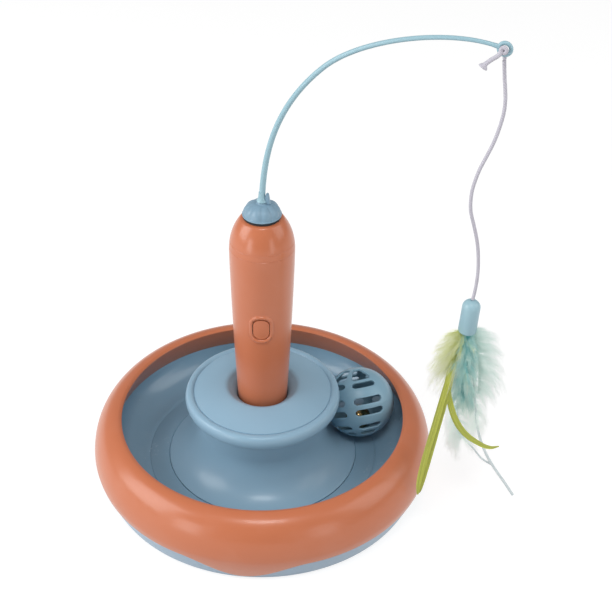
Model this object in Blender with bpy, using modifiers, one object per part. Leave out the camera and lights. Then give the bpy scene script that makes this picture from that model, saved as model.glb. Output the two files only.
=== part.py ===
# Rotating feather cat toy: a round ball track with a lift-out, battery driven
# handle in its middle.  A spinner cap on the handle turns an arched wand, and a
# feather lure hangs from the wand's eye on a string.
#
# Units are metres, +Z is up.  The origin is the centre of the base's underside,
# and the handle's axis is the Z axis.  Run it with
#     blender --background --python part.py
# or from the text editor.

from math import acos, asin, atan2, cos, degrees, hypot, pi, radians, sin, sqrt

import bmesh
import bpy
from mathutils import Matrix, Vector


# Clearances
GAP = 0.0003                    # between two pieces that touch
CUT_OVERRUN = 0.001             # how far a cutter passes the face that it cuts
SINK = 0.0004                   # how far two shapes of one piece run into each other
WELD = 0.000001                 # points closer than this are one

# Base, seen from outside
BASE_RADIUS = 0.1208            # the ring at its widest
RING_WIDTH = 0.0208
RIM_RADIUS = BASE_RADIUS - RING_WIDTH   # inner edge of the orange ring
RIM_HEIGHT = 0.0495             # that edge above the table
RIM_CROWN_RISE = 0.0009
RIM_CROWN_SETBACK = 0.0020
BULGE_HEIGHT = 0.0224           # height of the widest line
SKIRT_TUCK = 0.0073
SKIRT_FOOT_RADIUS = BASE_RADIUS - SKIRT_TUCK    # where the skirt's line would meet the table
SKIRT_CURVE_SHARE = 1.4         # how late the skirt turns in
SKIRT_PARTING = 0.0160          # orange above, blue below
TONGUE_LOW = 0.0024             # lowest point of the ring's tongues
TONGUE_COUNT = 4
TONGUE_BEARING = radians(-96.5)
TONGUE_HALF_ANGLE = radians(21.0)
RING_WALL = 0.0024
SKIN_STEP = 0.0008              # the blue skin lies this far inside the orange one
LIP_UNDERCUT = 0.0070           # the ring's inner wall leans out this far
LIP_FOOT = 0.0310               # height of that wall's foot, just above the tray
LIP_DEPTH = RIM_HEIGHT - LIP_FOOT

# Circles of the track and the pedestal, each a set distance inside the ring's inner edge
TRACK_SEAM_SETBACK = 0.0323
TRACK_LINE_SETBACK = 0.0185
TRACK_RISE_SETBACK = 0.0165
BALL_TRACK_SETBACK = 0.0260
NECK_SETBACK = 0.0555
DISC_SETBACK = 0.0455
PLATE_SETBACK = 0.0519
TRACK_SEAM_RADIUS = RIM_RADIUS - TRACK_SEAM_SETBACK     # where the tray meets the pedestal
TRACK_LINE_RADIUS = RIM_RADIUS - TRACK_LINE_SETBACK     # a fine step in the floor
TRACK_RISE_RADIUS = RIM_RADIUS - TRACK_RISE_SETBACK     # where the outer trough starts to climb
BALL_TRACK_RADIUS = RIM_RADIUS - BALL_TRACK_SETBACK
NECK_RADIUS = RIM_RADIUS - NECK_SETBACK
DISC_RADIUS = RIM_RADIUS - DISC_SETBACK
PLATE_RADIUS = RIM_RADIUS - PLATE_SETBACK

# Bottom shell
SHELL_FLOOR = 0.0030
SHELL_RIB_WALL = 0.0018
SHELL_EDGE_ROUND = 0.0009
BOSS_RADIUS = 0.0160
BOSS_WALL = 0.0026
FOOT_RADIUS = 0.0090
FOOT_THICKNESS = 0.0015
FOOT_SETBACK = 0.0308
FOOT_CIRCLE = BASE_RADIUS - FOOT_SETBACK
FOOT_COUNT = 4
SCREW_OFFSET = 0.0008           # the screws stand this far outside the seam
SCREW_CIRCLE = TRACK_SEAM_RADIUS + SCREW_OFFSET
SCREW_COUNT = 4
SCREW_RADIUS = 0.0015
SCREW_HEAD_RADIUS = 0.0029
SCREW_HEAD_HEIGHT = 0.0011
SCREW_SOCKET_RADIUS = 0.0011
SCREW_LENGTH = 0.0072
SCREW_RECESS = 0.0018

# Track
TRACK_FLOOR = 0.0136
TRACK_WALL = 0.0020
TRACK_LINE_STEP = 0.0003
TRACK_RISE_HEIGHT = 0.0235
TRACK_RISE_END_SHARE = 0.975    # share of the trough's half width where it ends

# Pedestal and its top plate
COVE_RADIUS = 0.0270
PEDESTAL_WALL = 0.0020
DISC_TOP = 0.0697
PLATE_GROOVE = 0.0006
PLATE_THICKNESS = 0.0024
ROLL_HEIGHT = 0.0102
ROLL_SHARES = ((0.15, 1.02), (0.55, 0.98), (0.90, 0.74), (1.00, 0.45), (0.80, 0.10), (0.54, 0.0))
LEDGE_WIDTH = 0.0036
LEDGE_THICKNESS = 0.0018
POST_RADIUS = 0.0034
MOUND_RISE = 0.0045             # how far the plate rises towards the socket
MOUND_TOP = DISC_TOP + MOUND_RISE
MOUND_LAND = 0.0050             # flat ring round the socket
PLATE_FOOT = 0.0030             # flat rim under the plate, where it is seated
FUNNEL_RADIUS = 0.0246
FUNNEL_DEPTH = 0.0162           # from the flat ring down to the bore
FUNNEL_SHARES = ((0.0, 1.0), (0.07, 0.86), (0.26, 0.48), (0.60, 0.14), (1.0, 0.0))
SOCKET_FLOOR = 0.0322
SOCKET_WALL = 0.0021

# Slotted ball and its bell
BALL_RADIUS = 0.0255
BALL_WALL = 0.0016
BALL_BEARING = radians(16.7)
BALL_TURN = (radians(11.4), radians(-29.9), radians(-93.3))
SLOT_ROWS_DEG = {1: ((4.0, 15.0), (32.0, 43.0), (49.0, 74.0)),
                 -1: ((4.0, 15.0), (32.0, 43.0), (49.0, 60.0))}
BALL_LATITUDES_DEG = {1: (0.0, 4.0, 15.0, 32.0, 43.0, 49.0, 74.0),
                      -1: (0.0, 4.0, 15.0, 32.0, 43.0, 49.0, 60.0, 75.0)}
SLOT_STARTS_DEG = (-9.0, 106.0, 171.0, 286.0)
SLOT_SPAN_DEG = 50.0
SLOT_END_DEG = 6.0
SLOT_END_DRAW_SHARE = 0.30      # how much the slot narrows at its ends
BALL_RIB_LONGITUDES_DEG = (63.0, 84.0, 243.0, 264.0)
BELL_RADIUS = 0.0090
BELL_WALL = 0.0008
BELL_HOLE_RADIUS = 0.0016
BELL_PEA_RADIUS = 0.0022

# Handle.  Its upper part keeps its place above the button.
BUTTON_HEIGHT = 0.1363
BELLY_RISE = 0.0512
SEAM_RISE = 0.0533
DOME_TOP_RISE = 0.0747
GEAR_PLATE_RISE = 0.0312
PLUG_RADIUS = 0.0170            # the part that stands in the socket
PLUG_TOP = 0.0600
HANDLE_RADIUS = 0.0216
BELLY_HEIGHT = BUTTON_HEIGHT + BELLY_RISE       # height of the widest line of the handle
HANDLE_CURVE_SHARE = 1.35
HANDLE_WALL = 0.0018
HANDLE_SEAM = BUTTON_HEIGHT + SEAM_RISE
DOME_RISE = 0.0302
DOME_TOP = BUTTON_HEIGHT + DOME_TOP_RISE
DOME_BORE = 0.0046
CAP_HEIGHT = 0.0060             # battery cap, the disc that shows
CAP_NECK_HEIGHT = 0.0027
CAP_SLOT_LENGTH = 0.0170
CAP_SLOT_WIDTH = 0.0022
CAP_SLOT_DEPTH = 0.0014
HANDLE_TURN = radians(-2.3)     # the button looks a little left of the front

# Power button and the switch behind it
BUTTON_WIDTH = 0.0120
BUTTON_LENGTH = 0.0163
BUTTON_PROUD = 0.0006
BUTTON_FLANGE = 0.0012
BUTTON_FLANGE_THICKNESS = 0.0010
BUTTON_STEM_RADIUS = 0.0022
BUTTON_TRAVEL = 0.0006
BEZEL_WIDTH = 0.0164
BEZEL_LENGTH = 0.0220
BEZEL_PROUD = 0.0008
BOARD_LENGTH = 0.0300
BOARD_RISE = 0.0030             # the board's middle above the button's
BOARD_THICKNESS = 0.0016
BOARD_DEPTH = 0.0092            # back face of the board in front of the axis
SWITCH_SIZE = 0.0060
SWITCH_THICKNESS = 0.0030
SWITCH_PLUNGER_RADIUS = 0.0017

# Batteries and contacts
BATTERY_RADIUS = 0.0071
BATTERY_LENGTH = 0.0495
BATTERY_NUB_RADIUS = 0.0027
BATTERY_NUB_LENGTH = 0.0010
BATTERY_SPACING = 0.0147
CONTACT_THICKNESS = 0.0005
CONTACT_WIDTH = 0.0090
SPRING_HEIGHT = 0.0039
SPRING_WIRE = 0.0007
SPRING_RADIUS = 0.0046
SPRING_TOP_RADIUS = 0.0028
SPRING_TURNS = 3
SPRING_POINTS = 6
BULKHEAD_THICKNESS = 0.0025

# Motor and gear train
MOTOR_WIDTH = 0.0155
MOTOR_DEPTH = 0.0120
MOTOR_LENGTH = 0.0165
MOTOR_ROUND = 0.0020
MOTOR_SHAFT_RADIUS = 0.00075
GEAR_MODULE = 0.0005
GEAR_TEETH = 28
PINION_TEETH = 8
GEAR_ADDENDUM_SHARE = 0.80
GEAR_DEDENDUM_SHARE = 1.10
TOOTH_THICKNESS_SHARE = 0.42
TOOTH_TIP_SHARE = 0.55
TOOTH_ROOT_SHARE = 1.35
GEAR_FACE = 0.0028
GEAR_PIN_RADIUS = 0.0009
GEAR_PLATE_THICKNESS = 0.0018
GEAR_PLATE_HEIGHT = BUTTON_HEIGHT + GEAR_PLATE_RISE
GEAR_LAYER = 0.0034
PILLAR_RADIUS = 0.0026
PILLAR_CIRCLE = 0.0142
GEAR_SCREW_RADIUS = 0.0010
GEAR_SCREW_HEAD = 0.0020
GEAR_SCREW_HEAD_HEIGHT = 0.0010
GEAR_SCREW_LENGTH = 0.0050
SPINDLE_RADIUS = 0.0020
BUSH_WALL = 0.0012
BUSH_FLANGE = 0.0010
SPINNER_SEAT_GAP = 0.0020       # daylight between the dome and the spinner cap

# Spinner cap
SPINNER_RADIUS = 0.01275
SPINNER_RIM = 0.0011
SPINNER_HEIGHT = 0.0085
SPINNER_COLLAR_RADIUS = 0.0038
SPINNER_COLLAR_HEIGHT = 0.0012
SPINNER_HOLLOW_DEPTH = 0.0030
SPINNER_WALL = 0.0014
SPINNER_PETALS = 12
PETAL_DEPTH_SHARE = 0.05
PETAL_STEPS = 3
LUG_WIDTH = 0.0022
LUG_LENGTH = 0.0028
LUG_HEIGHT = 0.0092
LUG_OFFSET = 0.0041

# Wand: its plane is turned from +X towards the front
WAND_BEARING = radians(-22.0)
WAND_BASE_RADIUS = 0.00195
WAND_MIDDLE_RADIUS = 0.0016
WAND_TIP_RADIUS = 0.0012
WAND_RISE = 0.0390              # length of the foot's tangent
WAND_MIDDLE = (0.0388, 0.3207)
WAND_MIDDLE_ANGLE = radians(44.6)
WAND_MIDDLE_IN = 0.0427
WAND_MIDDLE_OUT = 0.0313
WAND_TIP_ANGLE = radians(-12.8)
WAND_TIP_IN = 0.0284
EYE_OVERHANG = 0.0218
EYE_REACH = BASE_RADIUS + EYE_OVERHANG  # centre of the eye from the axis
EYE_HEIGHT = 0.3493
EYE_RADIUS = 0.0034
EYE_WIRE_RADIUS = 0.0012

# String, knot and ferrule
STRING_RADIUS = 0.0011
KNOT_RADIUS = 0.0021
TAIL_FLARE_RADIUS = 0.0019
STRING_PIVOT_GAP = 0.0009       # the string swings here, just under the eye
FERRULE_LENGTH = 0.0236
FERRULE_RADIUS = 0.0059
FERRULE_LEAN = radians(3.0)
FERRULE_MOUTH_DEPTH = 0.0030
FERRULE_MOUTH_WALL = 0.0009

# Feathers: each hangs from the ferrule's mouth
QUILL_WIDTH = 0.0012            # a feather's bare quill inside the mouth
DOWN_THICKNESS = 0.0100
BLADE_THICKNESS = 0.0010
BLADE_WIDTH = 0.0056
TEAL_DOWN_LENGTH = 0.0660
TEAL_DOWN_WIDTH = 0.0190
GREEN_DOWN_LENGTH = 0.0440
GREEN_DOWN_WIDTH = 0.0130
PALE_DOWN_LENGTH = 0.0640
PALE_DOWN_WIDTH = 0.0180
LEFT_FEATHER_LENGTH = 0.1314
RIGHT_FEATHER_LENGTH = 0.1293
CURVED_FEATHER_LENGTH = 0.0900
QUILL_FEATHER_LENGTH = 0.1403
QUILL_FEATHER_WIDTH = 0.0170
SIDE_QUILL_LENGTH = 0.1210
SIDE_QUILL_WIDTH = 0.0100

# Rows down a feather: down, across and forward as shares of its length, and the
# share of its width
TEAL_DOWN_SHARES = (
    (0.09, 0.0, 0.0, 0.42),
    (0.30, 0.015, 0.0, 0.90),
    (0.58, 0.01, 0.0, 1.0),
    (0.82, 0.0, 0.0, 0.68),
    (1.0, 0.0, 0.0, 0.16),
)
GREEN_DOWN_SHARES = (
    (0.09, -0.18, 0.0, 0.38),
    (0.32, -0.36, 0.0, 1.0),
    (0.68, -0.40, 0.0, 0.92),
    (1.0, -0.39, 0.0, 0.23),
)
PALE_DOWN_SHARES = (
    (0.06, 0.13, 0.0, 0.33),
    (0.25, 0.30, 0.0, 0.94),
    (0.53, 0.33, 0.0, 1.0),
    (0.81, 0.29, 0.0, 0.67),
    (1.0, 0.23, 0.0, 0.17),
)
LEFT_FEATHER_SHARES = (
    (0.12, -0.03, 0.08, 0.71),
    (0.27, -0.07, 0.09, 0.93),
    (0.44, -0.10, 0.10, 1.0),
    (0.63, -0.11, 0.105, 1.0),
    (0.83, -0.125, 0.11, 0.89),
    (1.0, -0.125, 0.115, 0.22),
)
RIGHT_FEATHER_SHARES = (
    (0.13, -0.01, 0.10, 0.64),
    (0.28, -0.045, 0.11, 0.89),
    (0.46, -0.075, 0.12, 1.0),
    (0.65, -0.09, 0.125, 1.0),
    (0.85, -0.105, 0.13, 0.86),
    (1.0, -0.115, 0.135, 0.22),
)
CURVED_FEATHER_SHARES = (
    (0.17, -0.015, 0.095, 0.61),
    (0.40, -0.05, 0.10, 0.80),
    (0.56, -0.055, 0.10, 0.89),
    (0.73, 0.005, 0.10, 0.89),
    (0.87, 0.10, 0.10, 0.89),
    (0.96, 0.22, 0.10, 0.79),
    (1.0, 0.37, 0.10, 0.25),
)
QUILL_FEATHER_SHARES = (
    (0.12, 0.02, -0.065, 0.24),
    (0.29, 0.04, -0.065, 0.71),
    (0.47, 0.07, -0.055, 1.0),
    (0.60, 0.115, -0.04, 0.71),
    (0.73, 0.185, -0.025, 0.18),
    (1.0, 0.365, 0.0, 0.09),
)
SIDE_QUILL_SHARES = (
    (0.15, -0.01, -0.09, 0.40),
    (0.39, -0.015, -0.095, 1.0),
    (0.65, 0.04, -0.085, 1.0),
    (0.82, 0.12, -0.075, 0.70),
    (0.93, 0.215, -0.07, 0.25),
    (1.0, 0.305, -0.07, 0.16),
)

# The string's route to the ferrule and the knot's cut tail, as x, y, z from the eye's centre
STRING_OFFSETS = (
    (0.00088, 0.00242, -0.00780),
    (0.00238, 0.00242, -0.01930),
    (0.00408, 0.00232, -0.03080),
    (0.00398, 0.00222, -0.04080),
    (0.00168, 0.00212, -0.05310),
    (-0.00082, 0.00192, -0.06130),
    (-0.00352, 0.00172, -0.06830),
    (-0.00602, 0.00152, -0.07480),
    (-0.00792, 0.00132, -0.08180),
    (-0.00922, 0.00112, -0.08880),
    (-0.00942, 0.00092, -0.09580),
    (-0.00882, 0.00072, -0.10280),
    (-0.00682, 0.00052, -0.10980),
    (-0.00442, 0.00042, -0.11810),
    (-0.00252, 0.00032, -0.12610),
    (-0.00122, 0.00022, -0.13480),
    (-0.00052, 0.00012, -0.14310),
    (-0.00042, 0.00002, -0.15180),
    (-0.00102, 0.00002, -0.16110),
    (-0.00172, 0.00002, -0.16590),
)
TAIL_OFFSETS = (
    (-0.00042, -0.00258, -0.00040),
    (-0.00322, -0.00358, -0.00280),
    (-0.00722, -0.00378, -0.00630),
    (-0.01002, -0.00378, -0.00910),
    (-0.01182, -0.00378, -0.01070),
)

EYE_PLACE = Vector((EYE_REACH * cos(WAND_BEARING), EYE_REACH * sin(WAND_BEARING), EYE_HEIGHT))
STRING_ROUTE = [EYE_PLACE + Vector(offset) for offset in STRING_OFFSETS]
TAIL_ROUTE = [EYE_PLACE + Vector(offset) for offset in TAIL_OFFSETS]
FERRULE_TOP = STRING_ROUTE[-1] - Vector((0, 0, 2 * GAP))

# Facets of the round pieces
BASE_STEPS = 48
TRAY_STEPS = 44
PEDESTAL_STEPS = 36
TOP_STEPS = 36
HANDLE_STEPS = 28
VANE_SIDES = 6

# Colours, as seen on the object
ORANGE = (206, 134, 102)
BLUE = (137, 170, 190)
DEEP_BLUE = (110, 140, 160)
PALE_BLUE = (160, 195, 208)
WHITE_STRING = (214, 212, 220)
GREEN = (165, 172, 70)
PALE_GREEN = (175, 190, 120)
TEAL = (120, 175, 175)
PALE_TEAL = (200, 218, 210)


def linear(colour):
    """Turn a colour of 0 to 255 as seen into Blender's linear colour."""
    result = []
    for level in colour:
        share = level / 255
        if share <= 0.04045:
            result.append(share / 12.92)
        else:
            result.append(((share + 0.055) / 1.055) ** 2.4)
    return (*result, 1.0)


# Scene and collections

for old in list(bpy.data.objects):
    bpy.data.objects.remove(old, do_unlink=True)

toy = bpy.data.collections.new("rotating_feather_cat_toy")
cutters = bpy.data.collections.new("cutters")
bpy.context.scene.collection.children.link(toy)
bpy.context.scene.collection.children.link(cutters)


# Helpers

def paint(piece, colour, roughness=0.4, metallic=0.0):
    """Give a piece its own plain material."""
    material = bpy.data.materials.new(piece.name)
    material.use_nodes = True
    shader = material.node_tree.nodes["Principled BSDF"]
    shader.inputs["Base Color"].default_value = linear(colour)
    shader.inputs["Roughness"].default_value = roughness
    shader.inputs["Metallic"].default_value = metallic
    material.diffuse_color = linear(colour)
    piece.data.materials.clear()
    piece.data.materials.append(material)
    return piece


def new_object(name, mesh, home=None):
    piece = bpy.data.objects.new(name, mesh)
    (home or toy).objects.link(piece)
    return piece


def group(name, place=(0, 0, 0), turn=(0, 0, 0), parent=None):
    """An empty that carries the pieces of one moving group."""
    empty = bpy.data.objects.new(name, None)
    toy.objects.link(empty)
    empty.location = place
    empty.rotation_euler = turn
    empty.empty_display_size = GAP
    empty.parent = parent
    return empty


def settle(piece):
    """Write the piece's modifiers into its mesh."""
    bpy.context.view_layer.update()
    evaluated = piece.evaluated_get(bpy.context.evaluated_depsgraph_get())
    mesh = bpy.data.meshes.new_from_object(evaluated)
    old = piece.data
    piece.modifiers.clear()
    piece.data = mesh
    if old.users == 0 and isinstance(old, bpy.types.Mesh):
        bpy.data.meshes.remove(old)
    return piece


def smooth(piece, angle=radians(32)):
    piece.data.shade_smooth()
    piece.data.set_sharp_from_angle(angle=angle)
    return piece


def turned(name, profile, steps, closed=True, home=None):
    """Turn a profile of (radius, height) about Z.

    A profile at +X runs down its outer side.  An open one starts and ends on
    the axis, a closed one goes once round its section.
    """
    mesh = bpy.data.meshes.new(name)
    points = [(radius, 0.0, height) for radius, height in profile]
    edges = [(index, index + 1) for index in range(len(points) - 1)]
    if closed:
        edges.append((len(points) - 1, 0))
    mesh.from_pydata(points, edges, [])
    piece = new_object(name, mesh, home)
    screw = piece.modifiers.new("turn", 'SCREW')
    screw.axis = 'Z'
    screw.angle = 2 * pi
    screw.steps = steps
    screw.render_steps = steps
    screw.use_merge_vertices = True
    screw.merge_threshold = WELD
    return smooth(settle(piece))


def rod(name, radius, length, place=(0, 0, 0), sides=16, axis='Z', home=None):
    """A cylinder that starts at a place and runs along an axis."""
    mesh = bpy.data.meshes.new(name)
    shape = bmesh.new()
    bmesh.ops.create_cone(shape, cap_ends=True, segments=sides, radius1=radius,
                          radius2=radius, depth=length)
    bmesh.ops.translate(shape, verts=shape.verts, vec=(0, 0, length / 2))
    if axis == 'Y':
        bmesh.ops.rotate(shape, verts=shape.verts, matrix=Matrix.Rotation(-pi / 2, 3, 'X'))
    bmesh.ops.translate(shape, verts=shape.verts, vec=place)
    shape.to_mesh(mesh)
    shape.free()
    return smooth(new_object(name, mesh, home))


def block(name, size, place, home=None):
    """A box of a size about a place."""
    mesh = bpy.data.meshes.new(name)
    shape = bmesh.new()
    bmesh.ops.create_cube(shape, size=1)
    bmesh.ops.scale(shape, verts=shape.verts, vec=size)
    bmesh.ops.translate(shape, verts=shape.verts, vec=place)
    shape.to_mesh(mesh)
    shape.free()
    return new_object(name, mesh, home)


def plate(name, outline, thickness, home=None):
    """A flat outline in X and Y, filled and thickened about Z = 0."""
    curve = bpy.data.curves.new(name, 'CURVE')
    curve.dimensions = '2D'
    curve.fill_mode = 'BOTH'
    curve.extrude = thickness / 2
    for loop in outline:
        spline = curve.splines.new('POLY')
        spline.points.add(len(loop) - 1)
        for point, (x, y) in zip(spline.points, loop):
            point.co = (x, y, 0, 1)
        spline.use_cyclic_u = True
    return curve_piece(name, curve, home)


def curve_piece(name, curve, home=None):
    """Turn a curve into a closed mesh piece."""
    guide = bpy.data.objects.new(name + "_curve", curve)
    cutters.objects.link(guide)
    bpy.context.view_layer.update()
    evaluated = guide.evaluated_get(bpy.context.evaluated_depsgraph_get())
    mesh = bpy.data.meshes.new_from_object(evaluated)
    mesh.name = name
    shape = bmesh.new()
    shape.from_mesh(mesh)
    bmesh.ops.remove_doubles(shape, verts=shape.verts, dist=WELD)
    shape.to_mesh(mesh)
    shape.free()
    piece = new_object(name, mesh, home)
    piece.matrix_world = guide.matrix_world
    bpy.data.objects.remove(guide)
    bpy.data.curves.remove(curve)
    return smooth(piece)


def rounded_outline(width, length, radius, corner_points=4):
    """A rectangle with round corners, as a list of points."""
    points = []
    for side_x, side_y, start in ((1, 1, 0), (-1, 1, 1), (-1, -1, 2), (1, -1, 3)):
        centre_x = side_x * (width / 2 - radius)
        centre_y = side_y * (length / 2 - radius)
        for step in range(corner_points + 1):
            angle = (start + step / corner_points) * pi / 2
            points.append((centre_x + radius * cos(angle), centre_y + radius * sin(angle)))
    return points


def smooth_route(points, spacing):
    """Points at an even spacing along a smooth curve through the given ones."""
    route = [Vector(point) for point in points]
    ends = [route[0] * 2 - route[1], *route, route[-1] * 2 - route[-2]]
    fine = [route[0]]
    for index in range(1, len(ends) - 2):
        a, b, c, d = ends[index - 1:index + 3]
        for step in range(1, 13):
            t = step / 12
            fine.append(0.5 * ((2 * b) + (c - a) * t + (2 * a - 5 * b + 4 * c - d) * t * t
                               + (3 * b - a - 3 * c + d) * t ** 3))
    length = sum((b - a).length for a, b in zip(fine, fine[1:]))
    count = max(2, round(length / spacing))
    result = [fine[0]]
    walked = 0.0
    wanted = length / count
    for a, b in zip(fine, fine[1:]):
        run = (b - a).length
        while walked + run >= wanted * len(result) and len(result) < count:
            result.append(a.lerp(b, (wanted * len(result) - walked) / run))
        walked += run
    result.append(fine[-1])
    return result


def tube(name, points, radii, sides_resolution=2, home=None):
    """A round tube along points, with a radius at each."""
    curve = bpy.data.curves.new(name, 'CURVE')
    curve.dimensions = '3D'
    curve.bevel_depth = 1
    curve.bevel_resolution = sides_resolution
    curve.use_fill_caps = True
    spline = curve.splines.new('POLY')
    spline.points.add(len(points) - 1)
    for point, place, radius in zip(spline.points, points, radii):
        point.co = (*place, 1)
        point.radius = radius
    return curve_piece(name, curve, home)


def combine(piece, other, operation):
    """Cut, join or intersect two pieces, and drop the second."""
    other.hide_render = True
    other.display_type = 'WIRE'
    change = piece.modifiers.new(operation.lower(), 'BOOLEAN')
    change.operation = operation
    change.solver = 'EXACT'
    change.object = other
    settle(piece)
    bpy.data.objects.remove(other)
    return smooth(piece)


def cut(piece, cutter):
    return combine(piece, cutter, 'DIFFERENCE')


def join(piece, addition):
    return combine(piece, addition, 'UNION')


def seat(piece, parent):
    """Parent a piece that is already modelled in world places."""
    bpy.context.view_layer.update()
    piece.parent = parent
    piece.matrix_parent_inverse = parent.matrix_world.inverted()
    return piece


# Carriers of the moving groups

base_frame = group("base_frame")
handle_frame = group("handle_frame", parent=base_frame)
button_side = group("button_side", turn=(0, 0, HANDLE_TURN), parent=handle_frame)
spinner_frame = group("spinner_frame", parent=handle_frame)


# Base

def skirt_radius(height):
    """Radius of the ring's outer face below its widest line."""
    share = min(1.0, max(0.0, (BULGE_HEIGHT - height) / BULGE_HEIGHT))
    return BASE_RADIUS - (BASE_RADIUS - SKIRT_FOOT_RADIUS) * share ** SKIRT_CURVE_SHARE


def crown_point(share, inset=0.0):
    """A point of the ring's outer face above its widest line."""
    centre = RIM_RADIUS + RIM_CROWN_SETBACK
    top = RIM_HEIGHT + RIM_CROWN_RISE
    angle = share * pi / 2
    radius = centre + (BASE_RADIUS - centre - inset) * sin(angle)
    height = BULGE_HEIGHT + (top - BULGE_HEIGHT - inset) * cos(angle)
    return (radius, height)


def ring_inner_radius(height):
    """Radius of the ring's hidden inner wall above its widest line."""
    centre = RIM_RADIUS + RIM_CROWN_SETBACK
    rise = RIM_HEIGHT + RIM_CROWN_RISE - BULGE_HEIGHT - RING_WALL
    share = (height - BULGE_HEIGHT) / rise
    return centre + (BASE_RADIUS - centre - RING_WALL) * sqrt(1 - share * share)


def tongue_drop(angle):
    """How far the parting line dips at an angle from a tongue's middle."""
    pitch = 2 * pi / TONGUE_COUNT
    offset = abs((angle + pitch / 2) % pitch - pitch / 2)
    if offset >= TONGUE_HALF_ANGLE:
        return 0.0
    return (SKIRT_PARTING - TONGUE_LOW) * (1 + cos(pi * offset / TONGUE_HALF_ANGLE)) / 2


def follow_tongues(piece, is_edge):
    """Let the rows that is_edge picks dip with the tongues, along the skirt."""
    for vertex in piece.data.vertices:
        x, y, height = vertex.co
        radius = hypot(x, y)
        share = is_edge(radius, height)
        if share <= 0:
            continue
        lowered = height - share * tongue_drop(atan2(y, x))
        inset = skirt_radius(height) - radius
        scale = (skirt_radius(lowered) - inset) / radius
        vertex.co = (x * scale, y * scale, lowered)
    piece.rotation_euler = (0, 0, TONGUE_BEARING)
    return piece


def outer_ring():
    wall_foot = (RIM_RADIUS + LIP_UNDERCUT, RIM_HEIGHT - LIP_DEPTH)
    crown_rows = [crown_point(share) for share in (0.0, 0.27, 0.52, 0.76, 1.0)]
    middle = (BULGE_HEIGHT + SKIRT_PARTING) / 2
    inner_rows = [crown_point(share, RING_WALL) for share in (1.0, 0.82, 0.50)]
    profile = [
        (RIM_RADIUS, RIM_HEIGHT),
        *crown_rows,
        (skirt_radius(middle), middle),
        (skirt_radius(SKIRT_PARTING), SKIRT_PARTING),
        (skirt_radius(SKIRT_PARTING) - RING_WALL, SKIRT_PARTING),
        (skirt_radius(middle) - RING_WALL, middle),
        *inner_rows,
        (RIM_RADIUS + 2 * RING_WALL, RIM_HEIGHT - 1.5 * RING_WALL),
        (wall_foot[0] + RING_WALL, wall_foot[1]),
        wall_foot,
    ]
    ring = turned("outer_ring", profile, BASE_STEPS)

    def edge_share(radius, height):
        if radius < skirt_radius(height) - 1.5 * RING_WALL:
            return 0.0
        return (BULGE_HEIGHT - height) / (BULGE_HEIGHT - SKIRT_PARTING)

    follow_tongues(ring, edge_share)
    return paint(ring, ORANGE, 0.32)


def bottom_shell():
    boss_top = SOCKET_FLOOR - SOCKET_WALL - GAP
    flange_low = RIM_HEIGHT - LIP_DEPTH - GAP - TRACK_WALL
    rib_top = flange_low - GAP
    rib_radius = ring_inner_radius(rib_top) - 2 * GAP
    skin_edge = SKIRT_PARTING - GAP
    rib_step = skirt_radius(skin_edge) - RING_WALL - GAP
    skin_top = skirt_radius(skin_edge) - SKIN_STEP
    skin_foot = skirt_radius(SHELL_EDGE_ROUND) - SKIN_STEP
    cove = SHELL_FLOOR + SHELL_RIB_WALL
    profile = [
        (0, SHELL_FLOOR),
        (BOSS_RADIUS - BOSS_WALL, SHELL_FLOOR),
        (BOSS_RADIUS - BOSS_WALL, boss_top),
        (BOSS_RADIUS, boss_top),
        (BOSS_RADIUS, SHELL_FLOOR),
        (skin_foot - 4 * SHELL_RIB_WALL, SHELL_FLOOR),
        (skin_foot - 2 * SHELL_RIB_WALL, cove),
        (rib_radius - SHELL_RIB_WALL, BULGE_HEIGHT),
        (rib_radius - SHELL_RIB_WALL, rib_top),
        (rib_radius, rib_top),
        (rib_radius, BULGE_HEIGHT),
        (rib_step, skin_edge),
        (skin_top, skin_edge),
        (skin_foot, SHELL_EDGE_ROUND),
        (skin_foot - 2 * SHELL_EDGE_ROUND, 0),
        (0, 0),
    ]
    shell = turned("bottom_shell", profile, BASE_STEPS, closed=False)

    def edge_share(radius, height):
        on_edge = abs(height - skin_edge) < GAP / 2 and radius > rib_step - GAP
        return 1.0 if on_edge else 0.0

    follow_tongues(shell, edge_share)
    bpy.context.view_layer.update()
    for index in range(SCREW_COUNT):
        angle = (index + 0.5) * 2 * pi / SCREW_COUNT
        place = (SCREW_CIRCLE * cos(angle), SCREW_CIRCLE * sin(angle))
        cut(shell, rod("hole", SCREW_RADIUS + GAP, SHELL_FLOOR + 2 * CUT_OVERRUN,
                       (*place, -CUT_OVERRUN), 8, home=cutters))
        cut(shell, rod("recess", SCREW_HEAD_RADIUS + GAP, SCREW_RECESS + CUT_OVERRUN,
                       (*place, -CUT_OVERRUN), 16, home=cutters))
    for index in range(FOOT_COUNT):
        angle = index * 2 * pi / FOOT_COUNT
        place = (FOOT_CIRCLE * cos(angle), FOOT_CIRCLE * sin(angle))
        cut(shell, rod("foot_recess", FOOT_RADIUS + GAP, FOOT_THICKNESS + GAP + CUT_OVERRUN,
                       (*place, -CUT_OVERRUN), 16, home=cutters))
    return paint(shell, PALE_BLUE, 0.35)


def foot(index):
    angle = index * 2 * pi / FOOT_COUNT
    pad = rod(f"rubber_foot_{index + 1}", FOOT_RADIUS, FOOT_THICKNESS,
              (FOOT_CIRCLE * cos(angle), FOOT_CIRCLE * sin(angle), 0), 16)
    return paint(pad, (70, 72, 76), 0.8)


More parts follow.
